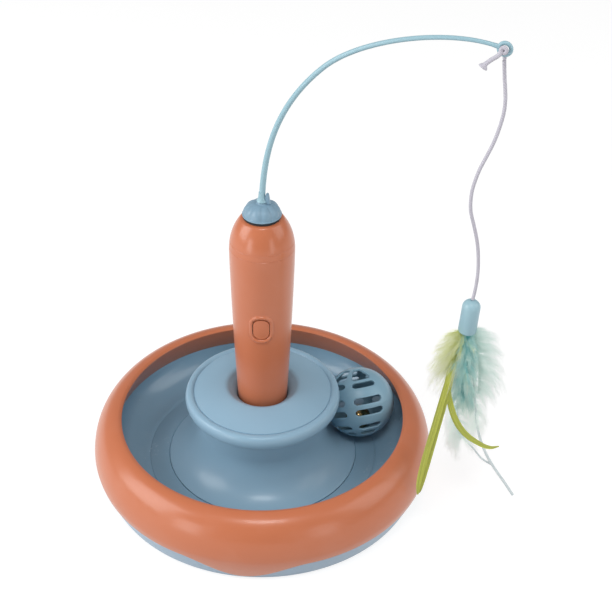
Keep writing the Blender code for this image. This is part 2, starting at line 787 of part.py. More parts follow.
def base_screw(index):
    angle = (index + 0.5) * 2 * pi / SCREW_COUNT
    head_low = SCREW_RECESS - GAP - SCREW_HEAD_HEIGHT
    profile = [
        (0, head_low + SCREW_HEAD_HEIGHT + SCREW_LENGTH),
        (SCREW_RADIUS / 2, head_low + SCREW_HEAD_HEIGHT + SCREW_LENGTH),
        (SCREW_RADIUS, SCREW_LENGTH),
        (SCREW_RADIUS, head_low + SCREW_HEAD_HEIGHT),
        (SCREW_HEAD_RADIUS, head_low + SCREW_HEAD_HEIGHT),
        (SCREW_HEAD_RADIUS, head_low),
        (SCREW_SOCKET_RADIUS, head_low),
        (SCREW_SOCKET_RADIUS, head_low + SCREW_HEAD_HEIGHT / 2),
        (0, head_low + SCREW_HEAD_HEIGHT / 2),
    ]
    screw = turned(f"base_screw_{index + 1}", profile, 8, closed=False)
    screw.location = (SCREW_CIRCLE * cos(angle), SCREW_CIRCLE * sin(angle), 0)
    return paint(screw, (170, 172, 175), 0.35, 1.0)


def track_tray():
    flange_top = RIM_HEIGHT - LIP_DEPTH - GAP
    trough_width = (RIM_RADIUS + LIP_UNDERCUT - TRACK_RISE_RADIUS) / TRACK_RISE_END_SHARE
    trough_top = TRACK_FLOOR + TRACK_RISE_HEIGHT
    trough = []
    under = []
    for share in (0.0, 0.33, 0.62, 0.84, TRACK_RISE_END_SHARE):
        height = trough_top - TRACK_RISE_HEIGHT * sqrt(1 - share * share)
        trough.append((TRACK_RISE_RADIUS + share * trough_width, height))
    for share in (0.78, 0.45, 0.0):
        height = trough_top - (TRACK_RISE_HEIGHT + TRACK_WALL) * sqrt(1 - share * share)
        under.append((TRACK_RISE_RADIUS + share * (trough_width + TRACK_WALL), height))
    trough[-1] = (trough[-1][0], flange_top)
    flange_radius = ring_inner_radius(flange_top) - 3 * GAP
    seam = TRACK_SEAM_RADIUS + GAP / 2
    step_low = TRACK_FLOOR - TRACK_LINE_STEP
    profile = [
        (seam, TRACK_FLOOR),
        (TRACK_LINE_RADIUS, TRACK_FLOOR),
        (TRACK_LINE_RADIUS + TRACK_LINE_STEP, step_low),
        *trough[1:],
        (flange_radius, flange_top),
        (flange_radius, flange_top - TRACK_WALL),
        (trough[-1][0] + TRACK_WALL, flange_top - TRACK_WALL),
        *under,
        (seam, TRACK_FLOOR - TRACK_WALL),
    ]
    return paint(turned("track_tray", profile, TRAY_STEPS), DEEP_BLUE, 0.3)


def cove_point(share, wall=0.0):
    """A point of the pedestal's hollow flank, from its foot to its neck."""
    centre_radius = NECK_RADIUS + COVE_RADIUS
    centre_height = TRACK_FLOOR + COVE_RADIUS
    foot_radius = TRACK_SEAM_RADIUS - GAP / 2
    foot_angle = -pi / 2 - asin((centre_radius - foot_radius) / COVE_RADIUS)
    angle = foot_angle + share * (-pi - foot_angle)
    reach = COVE_RADIUS + wall
    return (centre_radius + reach * cos(angle), centre_height + reach * sin(angle))


def pedestal():
    plate_low = DISC_TOP - PLATE_THICKNESS
    groove = PLATE_RADIUS + PLATE_GROOVE
    roll = DISC_RADIUS - groove
    roll_low = DISC_TOP - ROLL_HEIGHT
    rolled = [(groove + r * roll, roll_low + z * ROLL_HEIGHT) for r, z in ROLL_SHARES]
    ledge_top = TRACK_FLOOR - TRACK_WALL - GAP
    ledge_low = ledge_top - LEDGE_THICKNESS
    foot_radius = TRACK_SEAM_RADIUS - GAP / 2
    neck_top = (NECK_RADIUS + roll / 2, roll_low - roll / 3)
    seat_radius = FUNNEL_RADIUS + PEDESTAL_WALL / 4
    profile = [
        (groove, DISC_TOP - PLATE_GROOVE),
        *rolled,
        neck_top,
        *[cove_point(share) for share in (1.0, 0.75, 0.5, 0.25, 0.0)],
        (foot_radius, ledge_top),
        (foot_radius + LEDGE_WIDTH, ledge_top),
        (foot_radius + LEDGE_WIDTH, ledge_low),
        *[cove_point(share, PEDESTAL_WALL) for share in (0.15, 0.5, 1.0)],
        (neck_top[0] - PEDESTAL_WALL, neck_top[1]),
        (neck_top[0] - PEDESTAL_WALL, plate_low - PEDESTAL_WALL),
        (seat_radius, plate_low - PEDESTAL_WALL),
        (seat_radius, plate_low - GAP),
        (groove, plate_low - GAP),
    ]
    body = turned("pedestal", profile, PEDESTAL_STEPS)
    post_low = SHELL_FLOOR + GAP
    for index in range(SCREW_COUNT):
        angle = (index + 0.5) * 2 * pi / SCREW_COUNT
        place = (SCREW_CIRCLE * cos(angle), SCREW_CIRCLE * sin(angle))
        join(body, rod("post", POST_RADIUS, ledge_low + SINK - post_low,
                       (*place, post_low), 8, home=cutters))
        cut(body, rod("post_hole", SCREW_RADIUS + GAP, ledge_low - GAP - post_low + CUT_OVERRUN,
                      (*place, post_low - CUT_OVERRUN), 8, home=cutters))
    return paint(body, BLUE, 0.3)


def pedestal_top():
    bore = PLUG_RADIUS + GAP
    funnel = []
    for r_share, z_share in FUNNEL_SHARES:
        radius = bore + (FUNNEL_RADIUS - bore) * z_share
        funnel.append((radius, MOUND_TOP - FUNNEL_DEPTH * r_share))
    funnel.reverse()
    plate_low = DISC_TOP - PLATE_THICKNESS
    sleeve = bore + SOCKET_WALL
    profile = [
        (0, SOCKET_FLOOR),
        (bore, SOCKET_FLOOR),
        *funnel,
        (FUNNEL_RADIUS + MOUND_LAND, MOUND_TOP),
        (PLATE_RADIUS, DISC_TOP),
        (PLATE_RADIUS, plate_low),
        (PLATE_RADIUS - PLATE_FOOT, plate_low),
        (FUNNEL_RADIUS + MOUND_LAND, MOUND_TOP - PLATE_THICKNESS),
        (FUNNEL_RADIUS, MOUND_TOP - PLATE_THICKNESS),
        (sleeve, MOUND_TOP - FUNNEL_DEPTH),
        (sleeve, SOCKET_FLOOR - SOCKET_WALL),
        (0, SOCKET_FLOOR - SOCKET_WALL),
    ]
    return paint(turned("pedestal_top", profile, TOP_STEPS, closed=False), BLUE, 0.3)


# Slotted ball

def ball_place():
    height = TRACK_FLOOR + BALL_RADIUS + GAP
    return Vector((BALL_TRACK_RADIUS * cos(BALL_BEARING),
                   BALL_TRACK_RADIUS * sin(BALL_BEARING), height))


def ball_point(longitude, latitude, radius=BALL_RADIUS):
    return Vector((radius * cos(latitude) * cos(longitude),
                   radius * cos(latitude) * sin(longitude),
                   radius * sin(latitude)))


def slot_longitudes():
    """All longitudes of the ball's net, in degrees, and the slots' spans."""
    lines = set()
    for start in SLOT_STARTS_DEG:
        for offset in (0, SLOT_END_DEG, SLOT_SPAN_DEG / 2, SLOT_SPAN_DEG - SLOT_END_DEG, SLOT_SPAN_DEG):
            lines.add((start + offset) % 360)
    for line in BALL_RIB_LONGITUDES_DEG:
        lines.add(line % 360)
    return sorted(lines)


def slot_at(side, longitude, low, high):
    """Whether a cell of the net lies inside a slot."""
    in_row = any(abs(low - row[0]) < 1e-6 or row[0] <= low and high <= row[1]
                 for row in SLOT_ROWS_DEG[side])
    in_span = any(0 < (longitude - start) % 360 < SLOT_SPAN_DEG for start in SLOT_STARTS_DEG)
    return in_row and in_span


def drawn_latitude(side, longitude, latitude):
    """Slots narrow at their two ends, so their corners look round."""
    at_end = any(min(abs((longitude - start) % 360),
                     abs((longitude - start - SLOT_SPAN_DEG) % 360)) < 1e-6
                 for start in SLOT_STARTS_DEG)
    if not at_end:
        return latitude
    for low, high in SLOT_ROWS_DEG[side]:
        draw = (high - low) * SLOT_END_DRAW_SHARE
        if abs(latitude - low) < 1e-6:
            return latitude + draw
        if abs(latitude - high) < 1e-6:
            return latitude - draw
    return latitude


def ball_half(name, side):
    """One half of the ball: a net of faces with the slots left out, given a wall."""
    lines = slot_longitudes()
    shape = bmesh.new()
    rows = []
    latitudes = BALL_LATITUDES_DEG[side]
    for latitude in latitudes:
        row = []
        for longitude in lines:
            place = ball_point(radians(longitude), radians(drawn_latitude(side, longitude, latitude)))
            if latitude == 0:
                place.z += GAP / 2
            row.append(shape.verts.new((place.x, place.y, side * place.z)))
        rows.append(row)
    pole = shape.verts.new((0, 0, side * BALL_RADIUS))
    count = len(lines)
    for level in range(len(rows) - 1):
        low = latitudes[level]
        high = latitudes[level + 1]
        for index in range(count):
            following = (index + 1) % count
            width = (lines[following] - lines[index]) % 360
            if slot_at(side, lines[index] + width / 2, low, high):
                continue
            shape.faces.new((rows[level][index], rows[level][following],
                             rows[level + 1][following], rows[level + 1][index]))
    for index in range(count):
        shape.faces.new((rows[-1][index], rows[-1][(index + 1) % count], pole))
    if side < 0:
        bmesh.ops.reverse_faces(shape, faces=shape.faces)
    mesh = bpy.data.meshes.new(name)
    shape.to_mesh(mesh)
    shape.free()
    half = new_object(name, mesh)
    wall = half.modifiers.new("wall", 'SOLIDIFY')
    wall.thickness = BALL_WALL
    wall.offset = -1
    wall.use_even_offset = True
    settle(half)
    return paint(smooth(half), BLUE, 0.32)


BELL_DROP = BALL_RADIUS - BALL_WALL - BELL_RADIUS - 2 * GAP


def bell():
    """A round bell with a small hole below, open to its pea."""
    outer = []
    inner = []
    rows = 6
    hole_angle = asin(BELL_HOLE_RADIUS / BELL_RADIUS)
    for index in range(rows):
        angle = index * (pi - hole_angle) / (rows - 1)
        outer.append((BELL_RADIUS * sin(angle), BELL_RADIUS * cos(angle)))
        reach = BELL_RADIUS - BELL_WALL
        inner.append((reach * sin(angle), reach * cos(angle)))
    inner.reverse()
    body = turned("ball_bell", outer + inner, 14, closed=False)
    return paint(body, (190, 150, 80), 0.3, 1.0)


def bell_pea():
    reach = BELL_RADIUS - BELL_WALL - BELL_PEA_RADIUS
    lift = sqrt(reach ** 2 - (BELL_RADIUS / 2) ** 2)
    mesh = bpy.data.meshes.new("bell_pea")
    shape = bmesh.new()
    bmesh.ops.create_uvsphere(shape, u_segments=10, v_segments=6, radius=BELL_PEA_RADIUS)
    bmesh.ops.translate(shape, verts=shape.verts, vec=(BELL_RADIUS / 2 - GAP, 0, -lift + 2 * GAP))
    shape.to_mesh(mesh)
    shape.free()
    return paint(smooth(new_object("bell_pea", mesh)), (150, 152, 155), 0.3, 1.0)


# Handle

def handle_radius(height):
    """Outer radius of the handle, from its plug to the top of its dome."""
    if height <= PLUG_TOP:
        return PLUG_RADIUS
    if height <= BELLY_HEIGHT:
        share = (height - PLUG_TOP) / (BELLY_HEIGHT - PLUG_TOP)
        swell = 1 - (1 - share) ** HANDLE_CURVE_SHARE
        return PLUG_RADIUS + (HANDLE_RADIUS - PLUG_RADIUS) * swell
    return HANDLE_RADIUS * sqrt(1 - ((height - BELLY_HEIGHT) / DOME_RISE) ** 2)


def inner_radius(height):
    """Radius that clears the facets of the handle's inner wall."""
    return (handle_radius(height) - HANDLE_WALL) * cos(pi / HANDLE_STEPS)


HANDLE_LOW = SOCKET_FLOOR + GAP
BARREL_LOW = HANDLE_LOW + CAP_HEIGHT + GAP


def side_prism(name, width, length, corner, near, far):
    """A rounded plate on the button's side, from one depth to another in front."""
    prism = plate(name, [rounded_outline(width, length, corner)], far - near, home=cutters)
    for vertex in prism.data.vertices:
        x, y, z = vertex.co
        vertex.co = (x, -(near + far) / 2 - z, y + BUTTON_HEIGHT)
    return prism


def skin_cylinder(extra):
    """A cylinder that stands a little proud of the handle at the button."""
    length = 2 * BEZEL_LENGTH
    return rod("skin", handle_radius(BUTTON_HEIGHT) + extra, length,
               (0, 0, BUTTON_HEIGHT - length / 2), 48, home=cutters)


def handle_barrel():
    shares = (0.0, 0.22, 0.46, 0.72, 1.0)
    rows = [PLUG_TOP + share * (BELLY_HEIGHT - PLUG_TOP) for share in shares]
    outer = [(handle_radius(HANDLE_SEAM), HANDLE_SEAM)]
    outer += [(handle_radius(row), row) for row in reversed(rows)]
    outer.append((PLUG_RADIUS, BARREL_LOW))
    inner = [(PLUG_RADIUS - HANDLE_WALL, BARREL_LOW)]
    inner += [(handle_radius(row) - HANDLE_WALL, row) for row in rows if row < BELLY_HEIGHT]
    inner.append((handle_radius(HANDLE_SEAM) - HANDLE_WALL, HANDLE_SEAM))
    barrel = turned("handle_barrel", outer + inner, HANDLE_STEPS)
    depth = handle_radius(BUTTON_HEIGHT)
    bezel = side_prism("bezel", BEZEL_WIDTH, BEZEL_LENGTH, BEZEL_WIDTH / 2.6,
                       depth - HANDLE_WALL, depth + 2 * BEZEL_PROUD)
    combine(bezel, skin_cylinder(BEZEL_PROUD), 'INTERSECT')
    for vertex in barrel.data.vertices:
        vertex.co = Matrix.Rotation(pi / HANDLE_STEPS, 3, 'Z') @ vertex.co
    join(barrel, bezel)
    cut(barrel, side_prism("button_hole", BUTTON_WIDTH + 2 * GAP, BUTTON_LENGTH + 2 * GAP,
                           BUTTON_WIDTH / 3, depth / 2, 2 * depth))
    return paint(barrel, ORANGE, 0.3)


def handle_dome():
    low = HANDLE_SEAM + GAP
    rise = DOME_TOP - low
    rows = [low + share * rise for share in (0.0, 0.3, 0.58, 0.82, 1.0)]
    outer = [(handle_radius(row), row) for row in reversed(rows)]
    inner = [(handle_radius(row) - HANDLE_WALL, row) for row in rows[:3]]
    inner.append((handle_radius(rows[4]) - HANDLE_WALL, DOME_TOP - HANDLE_WALL))
    inner.append((DOME_BORE, DOME_TOP - HANDLE_WALL))
    inner.append((DOME_BORE, DOME_TOP))
    return paint(turned("handle_dome", outer + inner, HANDLE_STEPS), ORANGE, 0.28)


def battery_cap():
    neck = PLUG_RADIUS - HANDLE_WALL - GAP
    top = HANDLE_LOW + CAP_HEIGHT
    profile = [
        (0, top + CAP_NECK_HEIGHT),
        (neck, top + CAP_NECK_HEIGHT),
        (neck, top),
        (PLUG_RADIUS, top),
        (PLUG_RADIUS, HANDLE_LOW + HANDLE_WALL / 2),
        (PLUG_RADIUS - HANDLE_WALL / 2, HANDLE_LOW),
        (0, HANDLE_LOW),
    ]
    cap = turned("battery_cap", profile, HANDLE_STEPS, closed=False)
    cut(cap, block("coin_slot", (CAP_SLOT_LENGTH, CAP_SLOT_WIDTH, 2 * CAP_SLOT_DEPTH),
                   (0, 0, HANDLE_LOW), home=cutters))
    return paint(cap, ORANGE, 0.35)


def power_button():
    depth = handle_radius(BUTTON_HEIGHT)
    flange_far = depth - HANDLE_WALL - 1.6 * BUTTON_FLANGE_THICKNESS
    flange_near = flange_far - BUTTON_FLANGE_THICKNESS
    button = side_prism("power_button", BUTTON_WIDTH, BUTTON_LENGTH, BUTTON_WIDTH / 3,
                        flange_far - SINK, depth + 3 * BUTTON_PROUD)
    toy.objects.link(button)
    cutters.objects.unlink(button)
    combine(button, skin_cylinder(BUTTON_PROUD), 'INTERSECT')
    join(button, side_prism("flange", BUTTON_WIDTH + BUTTON_FLANGE, BUTTON_LENGTH + 2 * BUTTON_FLANGE,
                            BUTTON_WIDTH / 3, flange_near, flange_far))
    stem_length = BUTTON_TRAVEL + SINK
    join(button, rod("stem", BUTTON_STEM_RADIUS, stem_length,
                     (0, -flange_near - SINK, BUTTON_HEIGHT), 12, 'Y', home=cutters))
    return paint(button, ORANGE, 0.36)


def button_stem_end():
    """How far in front of the axis the button's stem ends."""
    depth = handle_radius(BUTTON_HEIGHT)
    flange_near = depth - HANDLE_WALL - 2.6 * BUTTON_FLANGE_THICKNESS
    return flange_near - BUTTON_TRAVEL


def switch():
    plunger_tip = button_stem_end() - BUTTON_TRAVEL - GAP
    body_front = BOARD_DEPTH + BOARD_THICKNESS + GAP + SWITCH_THICKNESS
    body = block("push_switch", (SWITCH_SIZE, SWITCH_THICKNESS, SWITCH_SIZE),
                 (0, -body_front + SWITCH_THICKNESS / 2, BUTTON_HEIGHT))
    join(body, rod("plunger", SWITCH_PLUNGER_RADIUS, plunger_tip - body_front + SINK,
                   (0, -plunger_tip, BUTTON_HEIGHT), 12, 'Y', home=cutters))
    return paint(body, (60, 62, 66), 0.5)


def circuit_board():
    """A board that stands like a chord between the barrel's walls."""
    middle = BUTTON_HEIGHT + BOARD_RISE
    wall = inner_radius(middle - BOARD_LENGTH / 2)
    front = BOARD_DEPTH + BOARD_THICKNESS
    width = 2 * (sqrt(wall ** 2 - front ** 2) - GAP)
    board = block("circuit_board", (width, BOARD_THICKNESS, BOARD_LENGTH),
                  (0, -BOARD_DEPTH - BOARD_THICKNESS / 2, middle))
    return paint(board, (40, 110, 70), 0.5)


# Batteries and contacts

LOWER_PLATE = HANDLE_LOW + CAP_HEIGHT + CAP_NECK_HEIGHT + GAP
CELL_ROOM_LOW = LOWER_PLATE + CONTACT_THICKNESS + GAP
CELL_ROOM_TOP = CELL_ROOM_LOW + BATTERY_LENGTH + BATTERY_NUB_LENGTH + SPRING_HEIGHT + GAP
BULKHEAD_LOW = CELL_ROOM_TOP + 2 * GAP + CONTACT_THICKNESS


def battery(name, side, upright):
    low = 0.0
    nub_low = low + BATTERY_LENGTH
    profile = [
        (0, nub_low + BATTERY_NUB_LENGTH),
        (BATTERY_NUB_RADIUS, nub_low + BATTERY_NUB_LENGTH),
        (BATTERY_NUB_RADIUS, nub_low),
        (BATTERY_RADIUS - GAP, nub_low),
        (BATTERY_RADIUS, nub_low - GAP),
        (BATTERY_RADIUS, low + GAP),
        (BATTERY_RADIUS - GAP, low),
        (0, low),
    ]
    cell = turned(name, profile, 16, closed=False)
    if upright:
        cell.location = (side * BATTERY_SPACING / 2, 0, CELL_ROOM_LOW + SPRING_HEIGHT + GAP)
    else:
        cell.location = (side * BATTERY_SPACING / 2, 0,
                         CELL_ROOM_LOW + BATTERY_LENGTH + BATTERY_NUB_LENGTH)
        cell.rotation_euler = (pi, 0, 0)
    return paint(cell, (70, 90, 80), 0.35, 0.3)


def spring_points(low, upward):
    points = []
    count = SPRING_TURNS * SPRING_POINTS
    climb = SPRING_HEIGHT - SPRING_WIRE
    for index in range(count + 1):
        share = index / count
        angle = share * SPRING_TURNS * 2 * pi
        radius = SPRING_RADIUS + (SPRING_TOP_RADIUS - SPRING_RADIUS) * share
        height = SPRING_WIRE / 2 + climb * share
        if not upward:
            height = SPRING_HEIGHT - height
        points.append(Vector((radius * cos(angle), radius * sin(angle), low + height)))
    return points


def least_gap(points, wire):
    """Least gap of a wire to itself, measured on its points."""
    least = None
    reach = SPRING_POINTS // 2
    for index, point in enumerate(points):
        for other in points[index + reach:]:
            distance = (point - other).length - wire
            if least is None or distance < least:
                least = distance
    return least


def contact_spring(name, side, low, upward):
    points = spring_points(low, upward)
    print(name, "least gap to itself, mm:", round(least_gap(points, SPRING_WIRE) * 1000, 2))
    radii = [SPRING_WIRE / 2] * len(points)
    spring = tube(name, points, radii, 1)
    spring.location = (side * BATTERY_SPACING / 2, 0, 0)
    return paint(spring, (200, 202, 205), 0.3, 1.0)


def contact_plate(name, width, centre, low):
    strip = plate(name, [rounded_outline(width, CONTACT_WIDTH, CONTACT_WIDTH / 3, 3)], CONTACT_THICKNESS)
    strip.location = (centre, 0, low + CONTACT_THICKNESS / 2)
    return paint(strip, (205, 206, 208), 0.3, 1.0)


def bulkhead():
    radius = inner_radius(BULKHEAD_LOW) - GAP
    disc = rod("battery_bulkhead", radius, BULKHEAD_THICKNESS, (0, 0, BULKHEAD_LOW), HANDLE_STEPS)
    return paint(disc, (225, 225, 222), 0.5)


# Motor and gear train

GEAR_CENTRES = GEAR_MODULE * (GEAR_TEETH + PINION_TEETH) / 2
LAYER_ONE = GEAR_PLATE_HEIGHT + GEAR_PLATE_THICKNESS + 2 * GAP
LAYER_TWO = LAYER_ONE + GEAR_LAYER
LAYER_THREE = LAYER_TWO + GEAR_LAYER
UPPER_PLATE = LAYER_THREE + GEAR_LAYER + 2 * GAP


def tooth_outline(teeth, phase):
    """Outline of a spur gear with straight flanks."""
    pitch_radius = GEAR_MODULE * teeth / 2
    tip_radius = pitch_radius + GEAR_ADDENDUM_SHARE * GEAR_MODULE
    root_radius = pitch_radius - GEAR_DEDENDUM_SHARE * GEAR_MODULE
    step = 2 * pi / teeth
    half = step * TOOTH_THICKNESS_SHARE / 2
    tip = half * TOOTH_TIP_SHARE * pitch_radius / tip_radius
    root = min(half * TOOTH_ROOT_SHARE * pitch_radius / root_radius, step * 0.46)
    points = []
    for tooth in range(teeth):
        centre = phase + tooth * step
        for angle, radius in ((-root, root_radius), (-tip, tip_radius),
                              (tip, tip_radius), (root, root_radius)):
            points.append((radius * cos(centre + angle), radius * sin(centre + angle)))
    return points


def circle_outline(radius, sides):
    return [(radius * cos(2 * pi * k / sides), radius * sin(2 * pi * k / sides))
            for k in range(sides)]


def spur(name, teeth, phase, low, height, bore=0.0, home=None):
    loops = [tooth_outline(teeth, phase)]
    if bore:
        loops.append(circle_outline(bore, 12))
    wheel = plate(name, loops, height, home=home)
    for vertex in wheel.data.vertices:
        vertex.co.z += low + height / 2
    return wheel


def compound_gear(name, low, small_phase):
    """A wheel with a smaller pinion on top, both on one pin."""
    bore = GEAR_PIN_RADIUS + GAP
    wheel = spur(name, GEAR_TEETH, 0.0, low, GEAR_FACE, bore)
    pinion_height = 2 * GEAR_LAYER - GEAR_FACE - 2 * GAP
    join(wheel, spur("pinion", PINION_TEETH, small_phase, low + GEAR_FACE - SINK,
                     pinion_height + SINK, bore, home=cutters))
    return paint(wheel, (235, 232, 222), 0.45)


def motor_pinion():
    phase = pi / PINION_TEETH
    wheel = spur("motor_pinion", PINION_TEETH, phase, LAYER_ONE, GEAR_FACE)
    top = LAYER_ONE + GEAR_FACE + 2 * GAP
    shaft_low = GEAR_PLATE_HEIGHT - GAP
    join(wheel, rod("shaft", MOTOR_SHAFT_RADIUS, top - shaft_low, (0, 0, shaft_low), 10, home=cutters))
    return paint(wheel, (205, 175, 105), 0.35, 1.0)


def motor_can():
    mesh_low = GEAR_PLATE_HEIGHT - 2 * GAP - MOTOR_LENGTH
    can = plate("motor_can", [rounded_outline(MOTOR_DEPTH, MOTOR_WIDTH, MOTOR_ROUND, 3)], MOTOR_LENGTH)
    can.location = (-GEAR_CENTRES, 0, mesh_low + MOTOR_LENGTH / 2)
    return paint(can, (190, 192, 196), 0.3, 1.0)


def gear_plate_lower():
    disc = rod("gear_plate_lower", inner_radius(GEAR_PLATE_HEIGHT) - GAP, GEAR_PLATE_THICKNESS,
               (0, 0, GEAR_PLATE_HEIGHT), HANDLE_STEPS)
    for side in (-1, 1):
        join(disc, rod("pillar", PILLAR_RADIUS, UPPER_PLATE - GAP - GEAR_PLATE_HEIGHT - SINK,
                       (0, side * PILLAR_CIRCLE, GEAR_PLATE_HEIGHT + SINK), 10, home=cutters))
        cut(disc, rod("pillar_hole", GEAR_SCREW_RADIUS + GAP, 2 * GEAR_SCREW_LENGTH,
                      (0, side * PILLAR_CIRCLE, UPPER_PLATE - GEAR_SCREW_LENGTH + GAP), 8, home=cutters))
    cut(disc, rod("shaft_hole", MOTOR_SHAFT_RADIUS + GAP, GEAR_PLATE_THICKNESS + 2 * CUT_OVERRUN,
                  (-GEAR_CENTRES, 0, GEAR_PLATE_HEIGHT - CUT_OVERRUN), 10, home=cutters))
    for place in (0.0, GEAR_CENTRES):
        cut(disc, rod("pin_hole", GEAR_PIN_RADIUS + GAP, GEAR_PLATE_THICKNESS + 2 * CUT_OVERRUN,
                      (place, 0, GEAR_PLATE_HEIGHT - CUT_OVERRUN), 8, home=cutters))
    return paint(disc, (230, 230, 228), 0.5)


def gear_plate_upper():
    disc = rod("gear_plate_upper", inner_radius(UPPER_PLATE) - GAP, GEAR_PLATE_THICKNESS,
               (0, 0, UPPER_PLATE), HANDLE_STEPS)
    bush_hole = SPINDLE_RADIUS + 2 * GAP + BUSH_WALL
    cut(disc, rod("bush_hole", bush_hole, GEAR_PLATE_THICKNESS + 2 * CUT_OVERRUN,
                  (0, 0, UPPER_PLATE - CUT_OVERRUN), 14, home=cutters))
    cut(disc, rod("pin_hole", GEAR_PIN_RADIUS + GAP, GEAR_PLATE_THICKNESS + 2 * CUT_OVERRUN,
                  (GEAR_CENTRES, 0, UPPER_PLATE - CUT_OVERRUN), 8, home=cutters))
    for side in (-1, 1):
        cut(disc, rod("screw_hole", GEAR_SCREW_RADIUS + GAP, GEAR_PLATE_THICKNESS + 2 * CUT_OVERRUN,
                      (0, side * PILLAR_CIRCLE, UPPER_PLATE - CUT_OVERRUN), 8, home=cutters))
    return paint(disc, (230, 230, 228), 0.5)


def gear_screw(index):
    side = (-1, 1)[index]
    head_low = UPPER_PLATE + GEAR_PLATE_THICKNESS + GAP
    head_top = head_low + GEAR_SCREW_HEAD_HEIGHT
    profile = [
        (0, head_top),
        (GEAR_SCREW_HEAD, head_top),
        (GEAR_SCREW_HEAD, head_low),
        (GEAR_SCREW_RADIUS, head_low),
        (GEAR_SCREW_RADIUS, head_low - GEAR_SCREW_LENGTH),
        (0, head_low - GEAR_SCREW_LENGTH),
    ]
    screw = turned(f"gear_screw_{index + 1}", profile, 8, closed=False)
    screw.location = (0, side * PILLAR_CIRCLE, 0)
    return paint(screw, (170, 172, 175), 0.35, 1.0)


def spindle_bush():
    low = UPPER_PLATE - GAP / 2
    top = UPPER_PLATE + GEAR_PLATE_THICKNESS
    bore = SPINDLE_RADIUS + GAP
    wall = bore + BUSH_WALL
    profile = [
        (bore, top + BUSH_FLANGE + GAP),
        (wall + BUSH_WALL, top + BUSH_FLANGE + GAP),
        (wall + BUSH_WALL, top + GAP),
        (wall, top + GAP),
        (wall, low),
        (bore, low),
    ]
    return paint(turned("spindle_bush", profile, 14), (200, 160, 85), 0.3, 1.0)


def gear_pin(index):
    place = (0.0, GEAR_CENTRES)[index]
    top = (LAYER_THREE - 2 * GAP, UPPER_PLATE + GEAR_PLATE_THICKNESS)[index]
    pin = rod(f"gear_pin_{index + 1}", GEAR_PIN_RADIUS, top - GEAR_PLATE_HEIGHT,
              (place, 0, GEAR_PLATE_HEIGHT), 8)
    return paint(pin, (180, 182, 186), 0.3, 1.0)


SPINNER_LOW = DOME_TOP + SPINNER_SEAT_GAP
SPINDLE_TOP = SPINNER_LOW + SPINNER_HOLLOW_DEPTH
WAND_FOOT = SPINDLE_TOP + GAP
CAP_BORE = max(SPINDLE_RADIUS, WAND_BASE_RADIUS) + GAP


def output_gear():
    wheel = spur("output_gear", GEAR_TEETH, 0.0, LAYER_THREE, GEAR_FACE, SPINDLE_RADIUS + GAP)
    return paint(wheel, (235, 232, 222), 0.45)


def spindle():
    shaft = rod("spindle", SPINDLE_RADIUS, SPINDLE_TOP - LAYER_THREE, (0, 0, LAYER_THREE), 14)
    return paint(shaft, (190, 192, 196), 0.25, 1.0)


# Spinner cap and wand

def spinner_cap():
    top = SPINNER_LOW + SPINNER_HEIGHT
    dome_low = SPINNER_LOW + SPINNER_RIM
    rise = top - dome_low
    bore = CAP_BORE
    outer = [(SPINNER_COLLAR_RADIUS * 0.8, top + SPINNER_COLLAR_HEIGHT), (SPINNER_COLLAR_RADIUS, top)]
    for share in (0.90, 0.66, 0.36, 0.0):
        radius = SPINNER_COLLAR_RADIUS + (SPINNER_RADIUS - SPINNER_RIM / 2 - SPINNER_COLLAR_RADIUS) \
            * sqrt(1 - share * share)
        outer.append((radius, dome_low + share * rise))
    outer.append((SPINNER_RADIUS, dome_low - SPINNER_RIM / 3))
    outer.append((SPINNER_RADIUS, SPINNER_LOW))
    inner = [
        (SPINNER_RADIUS - SPINNER_WALL, SPINNER_LOW),
        (SPINNER_RADIUS - 2 * SPINNER_WALL, SPINNER_LOW + SPINNER_HOLLOW_DEPTH),
        (SPINNER_COLLAR_RADIUS + SPINNER_WALL, SPINNER_LOW + SPINNER_HOLLOW_DEPTH),
        (SPINNER_COLLAR_RADIUS + SPINNER_WALL / 2, SPINNER_LOW),
        (bore, SPINNER_LOW),
        (bore, top + SPINNER_COLLAR_HEIGHT),
    ]
    steps = SPINNER_PETALS * PETAL_STEPS
    cap = turned("spinner_cap", outer + inner, steps)
    for vertex in cap.data.vertices:
        x, y, height = vertex.co
        radius = hypot(x, y)
        inside = radius < SPINNER_COLLAR_RADIUS * 1.2 or height < dome_low - SPINNER_RIM / 6
        covered = (height <= SPINNER_LOW + SPINNER_HOLLOW_DEPTH
                   and radius < SPINNER_RADIUS - 1.2 * SPINNER_WALL)
        if inside or covered or height > top - GAP:
            continue
        crease = 1 - abs(sin(SPINNER_PETALS * atan2(y, x) / 2)) ** 0.7
        scale = 1 - PETAL_DEPTH_SHARE * crease
        vertex.co = (x * scale, y * scale, height)
    lug = plate("lug", [rounded_outline(LUG_LENGTH, LUG_HEIGHT, LUG_LENGTH / 2.5, 3)], LUG_WIDTH,
                home=cutters)
    for vertex in lug.data.vertices:
        x, y, z = vertex.co
        vertex.co = (x + LUG_OFFSET, -z, y + top - SPINNER_COLLAR_HEIGHT + LUG_HEIGHT / 2)
    join(cap, lug)
    return paint(cap, BLUE, 0.35)


def bezier(a, b, c, d, count):
    points = []
    for index in range(count + 1):
        t = index / count
        points.append((1 - t) ** 3 * a + 3 * (1 - t) ** 2 * t * b + 3 * (1 - t) * t * t * c + t ** 3 * d)
    return points


